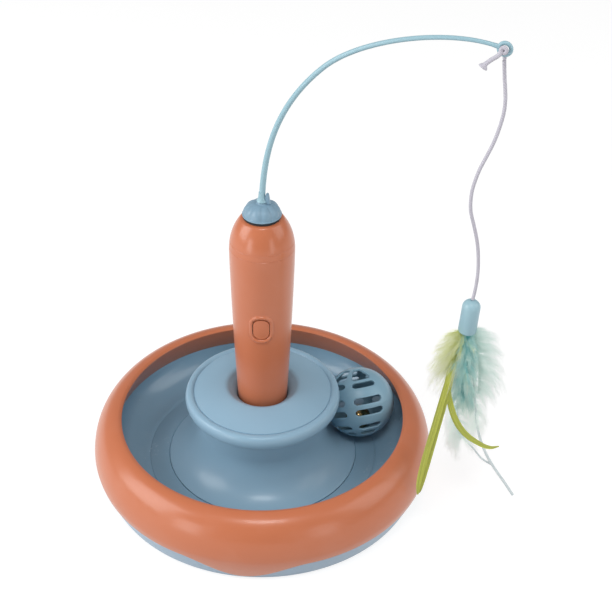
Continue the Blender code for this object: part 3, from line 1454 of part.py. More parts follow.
def wand_line():
    """The wand's centre line in its own plane, as (reach, 0, height)."""
    foot = Vector((0, 0, WAND_FOOT))
    middle = Vector((WAND_MIDDLE[0], 0, WAND_MIDDLE[1]))
    slope = Vector((cos(WAND_MIDDLE_ANGLE), 0, sin(WAND_MIDDLE_ANGLE)))
    droop = Vector((cos(WAND_TIP_ANGLE), 0, sin(WAND_TIP_ANGLE)))
    eye = Vector((EYE_REACH, 0, EYE_HEIGHT))
    tip = eye - droop * (EYE_RADIUS - SINK)
    first = bezier(foot, foot + Vector((0, 0, WAND_RISE)), middle - slope * WAND_MIDDLE_IN, middle, 8)
    last = bezier(middle, middle + slope * WAND_MIDDLE_OUT, tip - droop * WAND_TIP_IN, tip, 9)
    return first + last[1:]


def wand_rod():
    points = wand_line()
    count = len(points) - 1
    radii = []
    for index in range(count + 1):
        share = index / count
        if share < 0.5:
            radii.append(WAND_BASE_RADIUS + (WAND_MIDDLE_RADIUS - WAND_BASE_RADIUS) * share * 2)
        else:
            radii.append(WAND_MIDDLE_RADIUS + (WAND_TIP_RADIUS - WAND_MIDDLE_RADIUS) * (share * 2 - 1))
    wand = tube("wand_rod", points, radii, 2)
    bpy.ops.mesh.primitive_torus_add(major_segments=16, minor_segments=6, major_radius=EYE_RADIUS,
                                     minor_radius=EYE_WIRE_RADIUS, location=(0, 0, 0))
    eye = bpy.context.active_object
    eye.name = "wand_eye"
    for vertex in eye.data.vertices:
        x, y, z = vertex.co
        vertex.co = (x + EYE_REACH, -z, y + EYE_HEIGHT)
    join(wand, eye)
    wand.rotation_euler = (0, 0, WAND_BEARING)
    return paint(smooth(wand), PALE_BLUE, 0.3)


# Lure

def eye_axis():
    """Direction of the eye's hole, away from the front."""
    return Vector((-sin(WAND_BEARING), cos(WAND_BEARING), 0))


def lure_string():
    points = smooth_route(STRING_ROUTE, 6 * STRING_RADIUS)
    radii = [STRING_RADIUS] * len(points)
    return paint(tube("lure_string", points, radii, 2), WHITE_STRING, 0.8)


def string_knot():
    """The knot in front of the eye, its tail and the string's bend behind the eye."""
    eye = EYE_PLACE
    through = eye_axis()
    front = eye - through * (EYE_WIRE_RADIUS + KNOT_RADIUS * 0.8)
    back = eye + through * (EYE_WIRE_RADIUS + STRING_RADIUS + GAP)
    string_top = Vector(STRING_ROUTE[0])
    bend = Vector((back.x, back.y, back.z - STRING_RADIUS))
    low = Vector((string_top.x, string_top.y, string_top.z + STRING_PIVOT_GAP))
    route = [front, eye, eye + through * EYE_WIRE_RADIUS, bend - Vector((0, 0, STRING_RADIUS / 2)),
             bend.lerp(low, 0.6), low]
    points = smooth_route(route, 3 * STRING_RADIUS)
    knot = tube("string_knot", points, [STRING_RADIUS] * len(points), 2)
    mesh = bpy.data.meshes.new("knot_ball")
    shape = bmesh.new()
    bmesh.ops.create_uvsphere(shape, u_segments=10, v_segments=6, radius=KNOT_RADIUS)
    bmesh.ops.translate(shape, verts=shape.verts, vec=front)
    shape.to_mesh(mesh)
    shape.free()
    join(knot, new_object("knot_ball", mesh, cutters))
    tail_points = smooth_route(TAIL_ROUTE, 3 * STRING_RADIUS)
    radii = [STRING_RADIUS] * len(tail_points)
    radii[-2] = (STRING_RADIUS + TAIL_FLARE_RADIUS) / 2
    radii[-1] = TAIL_FLARE_RADIUS
    join(knot, tube("tail", [front, *tail_points[1:]], radii, 2, home=cutters))
    return paint(smooth(knot), WHITE_STRING, 0.8)


def ferrule_point(down, across=0.0, forward=0.0):
    """A place in the ferrule's own frame: down its axis, across and forward."""
    top = Vector(FERRULE_TOP)
    axis = Vector((-sin(FERRULE_LEAN), 0, -cos(FERRULE_LEAN)))
    side = Vector((cos(FERRULE_LEAN), 0, -sin(FERRULE_LEAN)))
    return top + axis * down + side * across + Vector((0, -forward, 0))


FEATHER_START = FERRULE_LENGTH - FERRULE_MOUTH_DEPTH + GAP


def ferrule():
    dome = FERRULE_RADIUS
    profile = [(0, 0)]
    for share in (0.35, 0.7, 0.92):
        profile.append((FERRULE_RADIUS * share, -dome * (1 - sqrt(1 - share * share)) * 0.9))
    profile += [
        (FERRULE_RADIUS * 0.99, -dome * 0.9),
        (FERRULE_RADIUS, -FERRULE_LENGTH),
        (FERRULE_RADIUS - FERRULE_MOUTH_WALL, -FERRULE_LENGTH),
        (FERRULE_RADIUS - FERRULE_MOUTH_WALL, -FERRULE_LENGTH + FERRULE_MOUTH_DEPTH),
        (0, -FERRULE_LENGTH + FERRULE_MOUTH_DEPTH),
    ]
    body = turned("ferrule", profile, 20, closed=False)
    body.location = FERRULE_TOP
    body.rotation_euler = (0, FERRULE_LEAN, 0)
    return paint(body, PALE_BLUE, 0.3)


def vane(name, route, widths, thickness, colour):
    """A feather: a lens-shaped section carried along a route, with a width at each point."""
    points = [Vector(point) for point in route]
    shape = bmesh.new()
    rings = []
    face = Vector((0, -1, 0))
    for index, point in enumerate(points):
        before = points[max(0, index - 1)]
        after = points[min(len(points) - 1, index + 1)]
        along = (after - before).normalized()
        across = along.cross(face).normalized()
        out = across.cross(along).normalized()
        half = widths[index] / 2
        thick = min(thickness, widths[index]) / 2
        ring = []
        for step in range(VANE_SIDES):
            angle = step * 2 * pi / VANE_SIDES
            ring.append(shape.verts.new(point + across * (half * cos(angle)) + out * (thick * sin(angle))))
        rings.append(ring)
    for ring, following in zip(rings, rings[1:]):
        for step in range(VANE_SIDES):
            other = (step + 1) % VANE_SIDES
            shape.faces.new((ring[step], ring[other], following[other], following[step]))
    shape.faces.new(list(reversed(rings[0])))
    shape.faces.new(rings[-1])
    bmesh.ops.recalc_face_normals(shape, faces=shape.faces)
    mesh = bpy.data.meshes.new(name)
    shape.to_mesh(mesh)
    shape.free()
    feather = new_object(name, mesh)
    return paint(smooth(feather), colour, 0.9)


def feather(name, length, width, thickness, colour, start, shares):
    """A feather or clump of down that leaves the ferrule's mouth.

    The start is its place in the mouth, across and forward.  The shares are rows
    of down, across and forward as shares of the length, and of the width there.
    """
    across, forward = start
    route = [ferrule_point(FEATHER_START, across, forward),
             ferrule_point(FERRULE_LENGTH + GAP, across, forward)]
    widths = [QUILL_WIDTH, QUILL_WIDTH]
    for down_share, across_share, forward_share, width_share in shares:
        route.append(ferrule_point(FERRULE_LENGTH + down_share * length,
                                   across_share * length, forward_share * length))
        widths.append(max(QUILL_WIDTH, width * width_share))
    return vane(name, route, widths, thickness, colour)


def feathers():
    """Three clumps of down and five longer feathers, all held in the ferrule's mouth."""
    reach = FERRULE_RADIUS - FERRULE_MOUTH_WALL - QUILL_WIDTH
    return (
        feather("teal_down", TEAL_DOWN_LENGTH, TEAL_DOWN_WIDTH, DOWN_THICKNESS, TEAL, (0, 0),
                TEAL_DOWN_SHARES),
        feather("green_down", GREEN_DOWN_LENGTH, GREEN_DOWN_WIDTH, DOWN_THICKNESS, PALE_GREEN,
                (-reach, 0), GREEN_DOWN_SHARES),
        feather("pale_down", PALE_DOWN_LENGTH, PALE_DOWN_WIDTH, DOWN_THICKNESS, PALE_TEAL,
                (reach, 0), PALE_DOWN_SHARES),
        feather("green_feather_left", LEFT_FEATHER_LENGTH, BLADE_WIDTH, BLADE_THICKNESS, GREEN,
                (-0.52 * reach, 0.88 * reach), LEFT_FEATHER_SHARES),
        feather("green_feather_right", RIGHT_FEATHER_LENGTH, BLADE_WIDTH, BLADE_THICKNESS, GREEN,
                (0.10 * reach, 1.15 * reach), RIGHT_FEATHER_SHARES),
        feather("curved_feather", CURVED_FEATHER_LENGTH, BLADE_WIDTH, BLADE_THICKNESS, GREEN,
                (0.72 * reach, 0.83 * reach), CURVED_FEATHER_SHARES),
        feather("quill_feather", QUILL_FEATHER_LENGTH, QUILL_FEATHER_WIDTH, BLADE_THICKNESS, PALE_TEAL,
                (0.68 * reach, -0.90 * reach), QUILL_FEATHER_SHARES),
        feather("side_quill", SIDE_QUILL_LENGTH, SIDE_QUILL_WIDTH, BLADE_THICKNESS, PALE_TEAL,
                (-0.68 * reach, -0.90 * reach), SIDE_QUILL_SHARES),
    )


def build():
    for piece in (outer_ring(), bottom_shell(), track_tray(), pedestal(), pedestal_top()):
        seat(piece, base_frame)
    for index in range(FOOT_COUNT):
        seat(foot(index), base_frame)
    for index in range(SCREW_COUNT):
        seat(base_screw(index), base_frame)

    ball_frame = group("ball_frame", ball_place(), BALL_TURN, base_frame)
    bell_frame = group("bell_frame", ball_place() - Vector((0, 0, BELL_DROP)), parent=base_frame)
    for name, side in (("ball_half_upper", 1), ("ball_half_lower", -1)):
        ball_half(name, side).parent = ball_frame
    bell().parent = bell_frame
    bell_pea().parent = bell_frame

    for piece in (handle_dome(), bulkhead(), battery_cap(), motor_can(), gear_plate_lower(),
                  gear_plate_upper(), spindle_bush()):
        seat(piece, handle_frame)
    for piece in (handle_barrel(), power_button(), switch(), circuit_board()):
        piece.parent = button_side
    seat(battery("battery_up", -1, True), handle_frame)
    seat(battery("battery_down", 1, False), handle_frame)
    seat(contact_spring("contact_spring_lower", -1, CELL_ROOM_LOW, True), handle_frame)
    seat(contact_spring("contact_spring_upper", 1, CELL_ROOM_TOP - SPRING_HEIGHT, False), handle_frame)
    bridge = BATTERY_SPACING + CONTACT_WIDTH
    seat(contact_plate("contact_plate_lower", bridge, 0.0, LOWER_PLATE), handle_frame)
    for name, side in (("contact_plate_left", -1), ("contact_plate_right", 1)):
        centre = side * BATTERY_SPACING / 2
        seat(contact_plate(name, CONTACT_WIDTH + 2 * GAP, centre, CELL_ROOM_TOP + GAP), handle_frame)
    for index in range(2):
        seat(gear_screw(index), handle_frame)
        seat(gear_pin(index), handle_frame)
    seat(compound_gear("compound_gear_lower", LAYER_ONE, pi / PINION_TEETH), handle_frame)
    second = group("second_gear_axis", (GEAR_CENTRES, 0, 0), parent=handle_frame)
    compound_gear("compound_gear_upper", LAYER_TWO, pi - pi / PINION_TEETH).parent = second
    motor_axis = group("motor_axis", (-GEAR_CENTRES, 0, 0), parent=handle_frame)
    motor_pinion().parent = motor_axis

    for piece in (output_gear(), spindle(), spinner_cap(), wand_rod()):
        seat(piece, spinner_frame)
    lure_frame = group("lure_frame", EYE_PLACE, parent=spinner_frame)
    for piece in (string_knot(), lure_string(), ferrule(), *feathers()):
        seat(piece, lure_frame)
    bpy.context.view_layer.update()


build()
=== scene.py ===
from math import asin, atan2, cos, hypot, pi, radians, sin, sqrt

import bpy
import numpy
from bpy.props import FloatProperty, FloatVectorProperty, IntProperty, PointerProperty
from mathutils import Matrix, Vector, noise


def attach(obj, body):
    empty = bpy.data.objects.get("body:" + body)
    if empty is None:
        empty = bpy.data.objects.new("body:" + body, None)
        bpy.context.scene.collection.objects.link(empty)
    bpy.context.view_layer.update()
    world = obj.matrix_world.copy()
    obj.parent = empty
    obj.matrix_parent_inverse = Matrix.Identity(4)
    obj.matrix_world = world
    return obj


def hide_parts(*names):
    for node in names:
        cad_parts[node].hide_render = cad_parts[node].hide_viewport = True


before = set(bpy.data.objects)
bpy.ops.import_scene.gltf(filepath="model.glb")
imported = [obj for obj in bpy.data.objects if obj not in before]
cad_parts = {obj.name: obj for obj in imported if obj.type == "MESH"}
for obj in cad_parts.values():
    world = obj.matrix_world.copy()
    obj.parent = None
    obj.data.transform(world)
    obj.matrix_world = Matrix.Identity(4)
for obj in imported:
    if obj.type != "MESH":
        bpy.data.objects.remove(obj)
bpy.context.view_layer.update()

bl_info = {
    "name": "Rotating Feather Cat Toy",
    "version": (1, 0, 0),
    "blender": (4, 5, 0),
    "location": "3D View > Sidebar > Cat Toy",
    "description": "Models the visible pieces of a ball track with a turning feather wand",
    "category": "Object",
}


def seen(red, green, blue):
    """Turn a colour of 0 to 255, as seen, into Blender's linear colour."""
    result = []
    for level in (red, green, blue):
        share = level / 255
        result.append(share / 12.92 if share <= 0.04045 else ((share + 0.055) / 1.055) ** 2.4)
    return (*result, 1.0)


def length_of(name, description, default):
    return FloatProperty(name=name, description=description, default=default, unit='LENGTH', precision=5)


def colour_of(name, description, *levels):
    return FloatVectorProperty(name=name, description=description, default=seen(*levels), size=4,
                               subtype='COLOR', min=0.0, max=1.0)


# Sizes and colours

class TrackSizes(bpy.types.PropertyGroup):
    rim_radius: length_of("Rim radius", "Inner edge of the orange ring", 0.1000)
    rim_height: length_of("Rim height", "Height of that edge", 0.0495)
    crown_rise: length_of("Crown rise", "How far the crown stands above the inner edge", 0.0009)
    crown_setback: length_of("Crown setback", "How far outside the inner edge the crown lies", 0.0020)
    base_radius: length_of("Base radius", "The ring at its widest", 0.1208)
    bulge_height: length_of("Bulge height", "Height of the widest line", 0.0224)
    skirt_foot: length_of("Skirt foot", "Radius where the skirt would meet the table", 0.1135)
    parting: length_of("Parting", "Height where orange meets blue", 0.0160)
    tongue_low: length_of("Tongue", "Lowest point of the ring's tongues", 0.0024)
    wall: length_of("Ring wall", "Thickness of the ring", 0.0024)
    undercut: length_of("Undercut", "How far the ring's inner wall leans out", 0.0070)
    lip_depth: length_of("Lip depth", "Depth of the ring's inner wall", 0.0185)
    floor: length_of("Track floor", "Height of the track's floor", 0.0136)
    seam_radius: length_of("Seam radius", "Where the tray meets the pedestal", 0.0677)
    line_radius: length_of("Line radius", "The fine step in the floor", 0.0815)
    rise_radius: length_of("Rise radius", "Where the outer trough starts to climb", 0.0835)
    trough_height: length_of("Trough height", "Radius of the trough's section", 0.0235)


class PedestalSizes(bpy.types.PropertyGroup):
    neck_radius: length_of("Neck radius", "Narrowest part under the disc", 0.0445)
    cove_radius: length_of("Cove radius", "Radius of the hollow flank", 0.0270)
    disc_radius: length_of("Disc radius", "The disc with its rolled edge", 0.0545)
    disc_top: length_of("Disc top", "Height of the disc", 0.0697)
    plate_radius: length_of("Plate radius", "The top plate", 0.0481)
    mound_rise: length_of("Mound rise", "How far the plate rises towards the socket", 0.0045)
    groove: length_of("Groove", "Width of the line round the plate", 0.0012)
    roll_height: length_of("Roll height", "Height of the rolled edge", 0.0102)
    funnel_radius: length_of("Funnel radius", "Where the socket's funnel starts", 0.0246)
    lip_round: length_of("Lip round", "Width of the round lip outside the funnel", 0.0020)
    funnel_depth: length_of("Funnel depth", "Depth of the funnel", 0.0072)
    socket_radius: length_of("Socket radius", "Bore of the socket", 0.0173)
    socket_gap: length_of("Socket gap", "How much wider the bore is at its mouth", 0.0007)
    socket_floor: length_of("Socket floor", "Height of the socket's floor", 0.0322)


class BallSizes(bpy.types.PropertyGroup):
    radius: length_of("Ball radius", "Outside of the slotted ball", 0.0255)
    wall: length_of("Ball wall", "Thickness of its wall", 0.0016)
    track_radius: length_of("Track radius", "Circle on which the ball runs", 0.0740)
    bell_radius: length_of("Bell radius", "The round bell inside", 0.0090)


class HandleSizes(bpy.types.PropertyGroup):
    plug_radius: length_of("Plug radius", "The part that stands in the socket", 0.0170)
    plug_top: length_of("Plug top", "Where the handle starts to swell", 0.0600)
    radius: length_of("Handle radius", "The handle at its widest", 0.0216)
    belly: length_of("Belly height", "Height of the widest line", 0.1875)
    wall: length_of("Handle wall", "Thickness of the handle", 0.0018)
    seam: length_of("Seam height", "Where the dome meets the barrel", 0.1896)
    dome_rise: length_of("Dome rise", "Height of the dome's ellipse", 0.0302)
    dome_top: length_of("Dome top", "Flat top of the dome", 0.2110)
    button_height: length_of("Button height", "Middle of the button", 0.1363)
    button_width: length_of("Button width", "Width of the button", 0.0108)
    button_length: length_of("Button length", "Length of the button", 0.0149)
    button_corner: length_of("Button corner", "Corner radius of the button", 0.0048)
    bezel_width: length_of("Bezel width", "Outer width of the ridge round the button", 0.0164)
    bezel_length: length_of("Bezel length", "Its outer length", 0.0220)
    bezel_ridge: length_of("Bezel ridge", "Width of the ridge itself", 0.0028)


class SpinnerSizes(bpy.types.PropertyGroup):
    radius: length_of("Cap radius", "The petalled cap at its rim", 0.01275)
    low: length_of("Cap rim height", "Underside of the cap", 0.2130)
    height: length_of("Cap height", "From rim to collar", 0.0085)
    petals: IntProperty(name="Petals", description="Number of petals on the cap", default=10, min=3, max=40)
    foot_radius: length_of("Wand foot radius", "The wand where it leaves the cap", 0.00205)
    middle_radius: length_of("Wand middle radius", "The wand half way", 0.0016)
    tip_radius: length_of("Wand tip radius", "The wand at its eye", 0.0012)
    eye_reach: length_of("Eye reach", "Centre of the eye from the axis", 0.1426)
    eye_height: length_of("Eye height", "Centre of the eye above the table", 0.3493)
    eye_radius: length_of("Eye radius", "Middle of the eye's wire", 0.0034)


class LureSizes(bpy.types.PropertyGroup):
    string_radius: length_of("String radius", "Half the string's thickness", 0.0011)
    ferrule_length: length_of("Ferrule length", "The cap that holds the feathers", 0.0236)
    ferrule_radius: length_of("Ferrule radius", "Its radius", 0.0059)
    fibre_radius: length_of("Fibre radius", "A fibre of the down", 0.000055)


class ToyColours(bpy.types.PropertyGroup):
    orange: colour_of("Orange", "Ring and handle", 197, 114, 77)
    disc_blue: colour_of("Disc blue", "Top plate and pedestal", 142, 176, 198)
    # The tray's blue is partly its own darker colour and partly painted shade, darkened to dim the track
    # floor.
    deep_blue: colour_of("Deep blue", "Track tray", 128, 162, 184)
    band_blue: colour_of("Band blue", "Bottom shell", 152, 176, 196)
    ball_blue: colour_of("Ball blue", "Slotted ball", 130, 168, 188)
    # The rubber colour also serves the dark disc under the cap, which paints the deep shade in the gap
    # between dome and cap.
    rubber: colour_of("Rubber", "Feet and the washer under the cap", 44, 44, 46)
    wand_blue: colour_of("Wand blue", "Wand and ferrule", 152, 188, 200)
    cap_blue: colour_of("Cap blue", "Petalled cap", 127, 158, 178)
    string: colour_of("String", "String and knot", 206, 203, 214)
    green: colour_of("Green", "Green feathers", 168, 174, 70)
    teal: colour_of("Teal", "Teal down", 104, 182, 183)
    teal_tip: colour_of("Teal tips", "Tips of the teal down", 214, 230, 220)
    down_green: colour_of("Down green", "Green down", 198, 206, 98)
    down_green_tip: colour_of("Down green tips", "Its tips", 236, 237, 231)
    pale_root: colour_of("Pale roots", "Roots of the pale down", 204, 226, 219)
    pale: colour_of("Pale", "Pale down", 238, 241, 238)
    quill: colour_of("Quill", "Bare quills", 216, 226, 228)
    bell: colour_of("Bell", "Golden bell", 176, 148, 102)


GROUPS = {
    "toy_track": TrackSizes,
    "toy_pedestal": PedestalSizes,
    "toy_ball": BallSizes,
    "toy_handle": HandleSizes,
    "toy_spinner": SpinnerSizes,
    "toy_lure": LureSizes,
    "toy_colours": ToyColours,
}

GAP = 0.0003    # between pieces that meet
WELD = 0.000002    # points nearer than this become one
UPRIGHT = Matrix.Rotation(radians(90), 4, 'X')    # stands an outline in X and Y up
PAD_CIRCLE = 0.09    # the rubber feet, from the axis
SCREW_CIRCLE = 0.0685    # the holes of the base's screws, from the axis
PLATE_WALL = 0.0024    # the pedestal's top plate
DOOR_HEIGHT = 0.006    # the battery door's rim
DOME_LINE = 0.1940    # height of the fine line round the dome
SHADE_DISC_THICKNESS = 0.0013    # thickness of the dark disc under the cap, whose near-black paints the shade in the gap
SHARP = 48    # degrees past which an edge of the handle's mouldings is rounded

# Bearings round the upright axis, and the ferrule's lean
TONGUE_BEARING = radians(-96.5)
TONGUE_HALF = radians(21.0)
BUTTON_TURN = radians(-2.3)
WAND_BEARING = radians(-22.0)
BALL_BEARING = radians(16.7)
PETAL_BEARING = radians(-109.0)
FERRULE_LEAN = radians(3.0)

# The string from the eye to the ferrule, and the cut tail of its knot
STRING_ROUTE = (
    (0.1331, -0.0510, 0.3415), (0.1346, -0.0510, 0.3300), (0.1363, -0.0511, 0.3185),
    (0.1362, -0.0512, 0.3085), (0.1339, -0.0513, 0.2962), (0.1314, -0.0515, 0.2880),
    (0.1287, -0.0517, 0.2810), (0.1262, -0.0519, 0.2745), (0.1243, -0.0521, 0.2675),
    (0.1230, -0.0523, 0.2605), (0.1228, -0.0525, 0.2535), (0.1234, -0.0527, 0.2465),
    (0.1254, -0.0529, 0.2395), (0.1278, -0.0530, 0.2312), (0.1297, -0.0531, 0.2232),
    (0.1310, -0.0532, 0.2145), (0.1317, -0.0533, 0.2062), (0.1318, -0.0534, 0.1975),
    (0.1312, -0.0534, 0.1882), (0.1305, -0.0534, 0.1834),
)
TAIL_ROUTE = (
    (0.1286, -0.0570, 0.3474), (0.1246, -0.0572, 0.3446), (0.1218, -0.0572, 0.3422),
    (0.1204, -0.0572, 0.3402),
)
FERRULE_TOP = Vector((0.1305, -0.0534, 0.1828))


# Modelling helpers

def object_mode():
    bpy.ops.object.mode_set(mode='OBJECT')


def edit_mode(action='SELECT'):
    """Open the active mesh for editing, with all of it selected or none."""
    bpy.ops.object.mode_set(mode='EDIT')
    bpy.ops.mesh.select_all(action=action)


def clear_selection():
    if bpy.context.object and bpy.context.object.mode != 'OBJECT':
        object_mode()
    bpy.ops.object.select_all(action='DESELECT')


def pick(piece):
    clear_selection()
    bpy.context.view_layer.objects.active = piece
    piece.select_set(True)
    return piece


def named(piece, name):
    piece.name = name
    piece.data.name = name
    return piece


def smooth(piece, degrees):
    """Smooth a piece, and leave the edges sharp that turn by more."""
    pick(piece)
    bpy.ops.object.shade_smooth_by_angle(angle=radians(degrees))
    return piece


def finish_shape(piece, degrees=35):
    """Merge doubles, turn the faces outwards and smooth a piece."""
    pick(piece)
    edit_mode()
    bpy.ops.mesh.remove_doubles(threshold=WELD)
    bpy.ops.mesh.normals_make_consistent(inside=False)
    object_mode()
    return smooth(piece, degrees)


def apply_place(piece):
    pick(piece)
    bpy.ops.object.transform_apply(location=True, rotation=True, scale=True)
    return piece


def apply_modifier(piece, kind, **values):
    """Add a modifier, set it up and apply it."""
    pick(piece)
    bpy.ops.object.modifier_add(type=kind)
    change = piece.modifiers[-1]
    for name, value in values.items():
        setattr(change, name, value)
    bpy.ops.object.modifier_apply(modifier=change.name)
    return piece


def bevel(piece, width, segments, degrees):
    """Round the edges that turn by more than an angle."""
    return apply_modifier(piece, 'BEVEL', width=width, segments=segments, limit_method='ANGLE',
                          angle_limit=radians(degrees))


def softened(profile, reach, points=4, closed=True, least=radians(25)):
    """Round the corners of a profile of (radius, height)."""
    result = []
    count = len(profile)
    for index in range(count):
        here = Vector(profile[index])
        if not closed and index in (0, count - 1):
            result.append(tuple(here))
            continue
        before = Vector(profile[index - 1]) - here
        after = Vector(profile[(index + 1) % count]) - here
        if before.length < 1e-7 or after.length < 1e-7:
            continue
        turn = pi - before.angle(after)
        if turn < least:
            result.append(tuple(here))
            continue
        setback = min(reach, before.length * 0.45, after.length * 0.45)
        first = here + before.normalized() * setback
        last = here + after.normalized() * setback
        for step in range(points + 1):
            t = step / points
            place = first * (1 - t) ** 2 + here * (2 * t * (1 - t)) + last * t * t
            result.append(tuple(place))
    return result


def lathe(name, profile, steps, closed=True, degrees=35):
    """Draw a profile point by point and spin it round the upright axis."""
    clear_selection()
    bpy.ops.mesh.primitive_plane_add(size=0.001, location=(0, 0, 0))
    piece = named(bpy.context.active_object, name)
    edit_mode()
    bpy.ops.mesh.merge(type='CENTER')
    points = [*profile, profile[0]] if closed else profile
    bpy.ops.transform.translate(value=(points[0][0], 0, points[0][1]))
    for (radius, height), (next_radius, next_height) in zip(points, points[1:]):
        bpy.ops.mesh.extrude_region_move(
            TRANSFORM_OT_translate={"value": (next_radius - radius, 0, next_height - height)})
    bpy.ops.mesh.select_all(action='SELECT')
    bpy.ops.mesh.spin(steps=steps, angle=2 * pi, center=(0, 0, 0), axis=(0, 0, 1))
    object_mode()
    return finish_shape(piece, degrees)


def disc_block(name, outline, low, high):
    """A flat outline in X and Y, filled and extruded from one height to another."""
    clear_selection()
    bpy.ops.mesh.primitive_circle_add(vertices=len(outline), radius=0.01, fill_type='NGON',
                                      location=(0, 0, 0))
    piece = named(bpy.context.active_object, name)
    for vertex, (x, y) in zip(piece.data.vertices, outline):
        vertex.co = (x, y, low)
    edit_mode()
    bpy.ops.mesh.extrude_region_move(TRANSFORM_OT_translate={"value": (0, 0, high - low)})
    object_mode()
    return finish_shape(piece)


def circle_points(radius, count, shift=0.0):
    """Even points on a circle, the first a share of a step past the X axis."""
    angles = [(index + shift) * 2 * pi / count for index in range(count)]
    return [(radius * cos(angle), radius * sin(angle)) for angle in angles]


def rounded_outline(width, length, radius, corner_points=10):
    points = []
    for side_x, side_y, start in ((1, 1, 0), (-1, 1, 1), (-1, -1, 2), (1, -1, 3)):
        for step in range(corner_points + 1):
            angle = (start + step / corner_points) * pi / 2
            points.append((side_x * (width / 2 - radius) + radius * cos(angle),
                           side_y * (length / 2 - radius) + radius * sin(angle)))
    return points


def boolean(piece, other, operation='DIFFERENCE'):
    apply_modifier(piece, 'BOOLEAN', operation=operation, solver='EXACT', object=other)
    bpy.data.objects.remove(other)
    return piece


def punch(piece, outline, place, low, high):
    """Cut a straight upright hole of an outline."""
    hole = disc_block("hole", outline, low, high)
    hole.location = (*place, 0)
    return boolean(piece, apply_place(hole))


def turned(piece, angle):
    """Turn a piece round the upright axis."""
    piece.data.transform(Matrix.Rotation(angle, 4, 'Z'))
    return piece


def join_pieces(pieces, name):
    pick(pieces[0])
    for piece in pieces[1:]:
        piece.select_set(True)
    bpy.ops.object.join()
    return named(bpy.context.active_object, name)


def copy_of(piece, name):
    pick(piece)
    bpy.ops.object.duplicate(linked=False)
    return named(bpy.context.active_object, name)


def smooth_route(points, per_span=8):
    """A finer line through the given points."""
    route = [Vector(point) for point in points]
    ends = [route[0] * 2 - route[1], *route, route[-1] * 2 - route[-2]]
    fine = [route[0]]
    for index in range(1, len(ends) - 2):
        a, b, c, d = ends[index - 1:index + 3]
        for step in range(1, per_span + 1):
            t = step / per_span
            fine.append(0.5 * ((2 * b) + (c - a) * t + (2 * a - 5 * b + 4 * c - d) * t * t
                               + (3 * b - a - 3 * c + d) * t ** 3))
    return fine


def smooth_profile(points, per_span):
    """A finer profile through the given points of (radius, height)."""
    return [(point.x, point.y) for point in smooth_route([(*point, 0) for point in points], per_span)]


def tapered(radius, loss, count):
    """Radii along a line, the last smaller by a share."""
    return [radius * (1 - loss * index / (count - 1)) for index in range(count)]


def line_curve(name, points, radii, depth=1.0, resolution=4):
    """An open curve along points, with a round section of a radius at each."""
    curve = bpy.data.curves.new(name, 'CURVE')
    curve.dimensions = '3D'
    curve.bevel_depth = depth
    curve.bevel_resolution = resolution
    curve.use_fill_caps = True
    spline = curve.splines.new('POLY')
    spline.points.add(len(points) - 1)
    for point, place, radius in zip(spline.points, points, radii):
        point.co = (*place, 1)
        point.radius = radius / depth
    line = bpy.data.objects.new(name, curve)
    bpy.context.scene.collection.objects.link(line)
    return line


def tube(name, points, radii, resolution=4, cyclic=False):
    """A round tube along points, as a mesh."""
    line = line_curve(name, points, radii, 1.0, resolution)
    line.data.splines[0].use_cyclic_u = cyclic
    pick(line)
    bpy.ops.object.convert(target='MESH')
    return finish_shape(named(bpy.context.active_object, name))


def settle(piece, body, slot, material, *nodes):
    """Give a finished piece its material, its body and the nodes that it stands for."""
    piece.data.materials.clear()
    piece.data.materials.append(material)
    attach(piece, body)
    if nodes:
        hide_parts(*nodes)
    return piece


# Shader groups and materials

def feed(node, inputs):
    """Fill a node's inputs: a socket is linked, anything else becomes the value."""
    for name, value in inputs.items():
        if isinstance(value, bpy.types.NodeSocket):
            node.id_data.links.new(value, node.inputs[name])
        else:
            node.inputs[name].default_value = value
    return node


def add_node(tree, kind, inputs=None, **settings):
    node = tree.nodes.new(kind)
    for name, value in settings.items():
        setattr(node, name, value)
    return feed(node, inputs or {})


def mix_colour(tree, factor, first, second):
    return add_node(tree, 'ShaderNodeMix', {0: factor, 6: first, 7: second}, data_type='RGBA').outputs[2]


def maths(tree, operation, first, second=0.0, clamp=False):
    return add_node(tree, 'ShaderNodeMath', {0: first, 1: second}, operation=operation,
                    use_clamp=clamp).outputs[0]


def product(tree, first, second):
    return maths(tree, 'MULTIPLY', first, second)


def centred(tree, value):
    """A value of 0 to 1, moved to lie round zero."""
    return maths(tree, 'SUBTRACT', value, 0.5)


def noise_on(tree, vector, scale, detail=2.0, distortion=0.0):
    inputs = {"Vector": vector, "Scale": scale, "Detail": detail, "Distortion": distortion}
    return add_node(tree, 'ShaderNodeTexNoise', inputs).outputs[0]


def between(tree, value, low, high):
    """How far a value is from one limit to another, from 0 to 1."""
    inputs = {"Value": value, "From Min": low, "From Max": high}
    return add_node(tree, 'ShaderNodeMapRange', inputs).outputs[0]


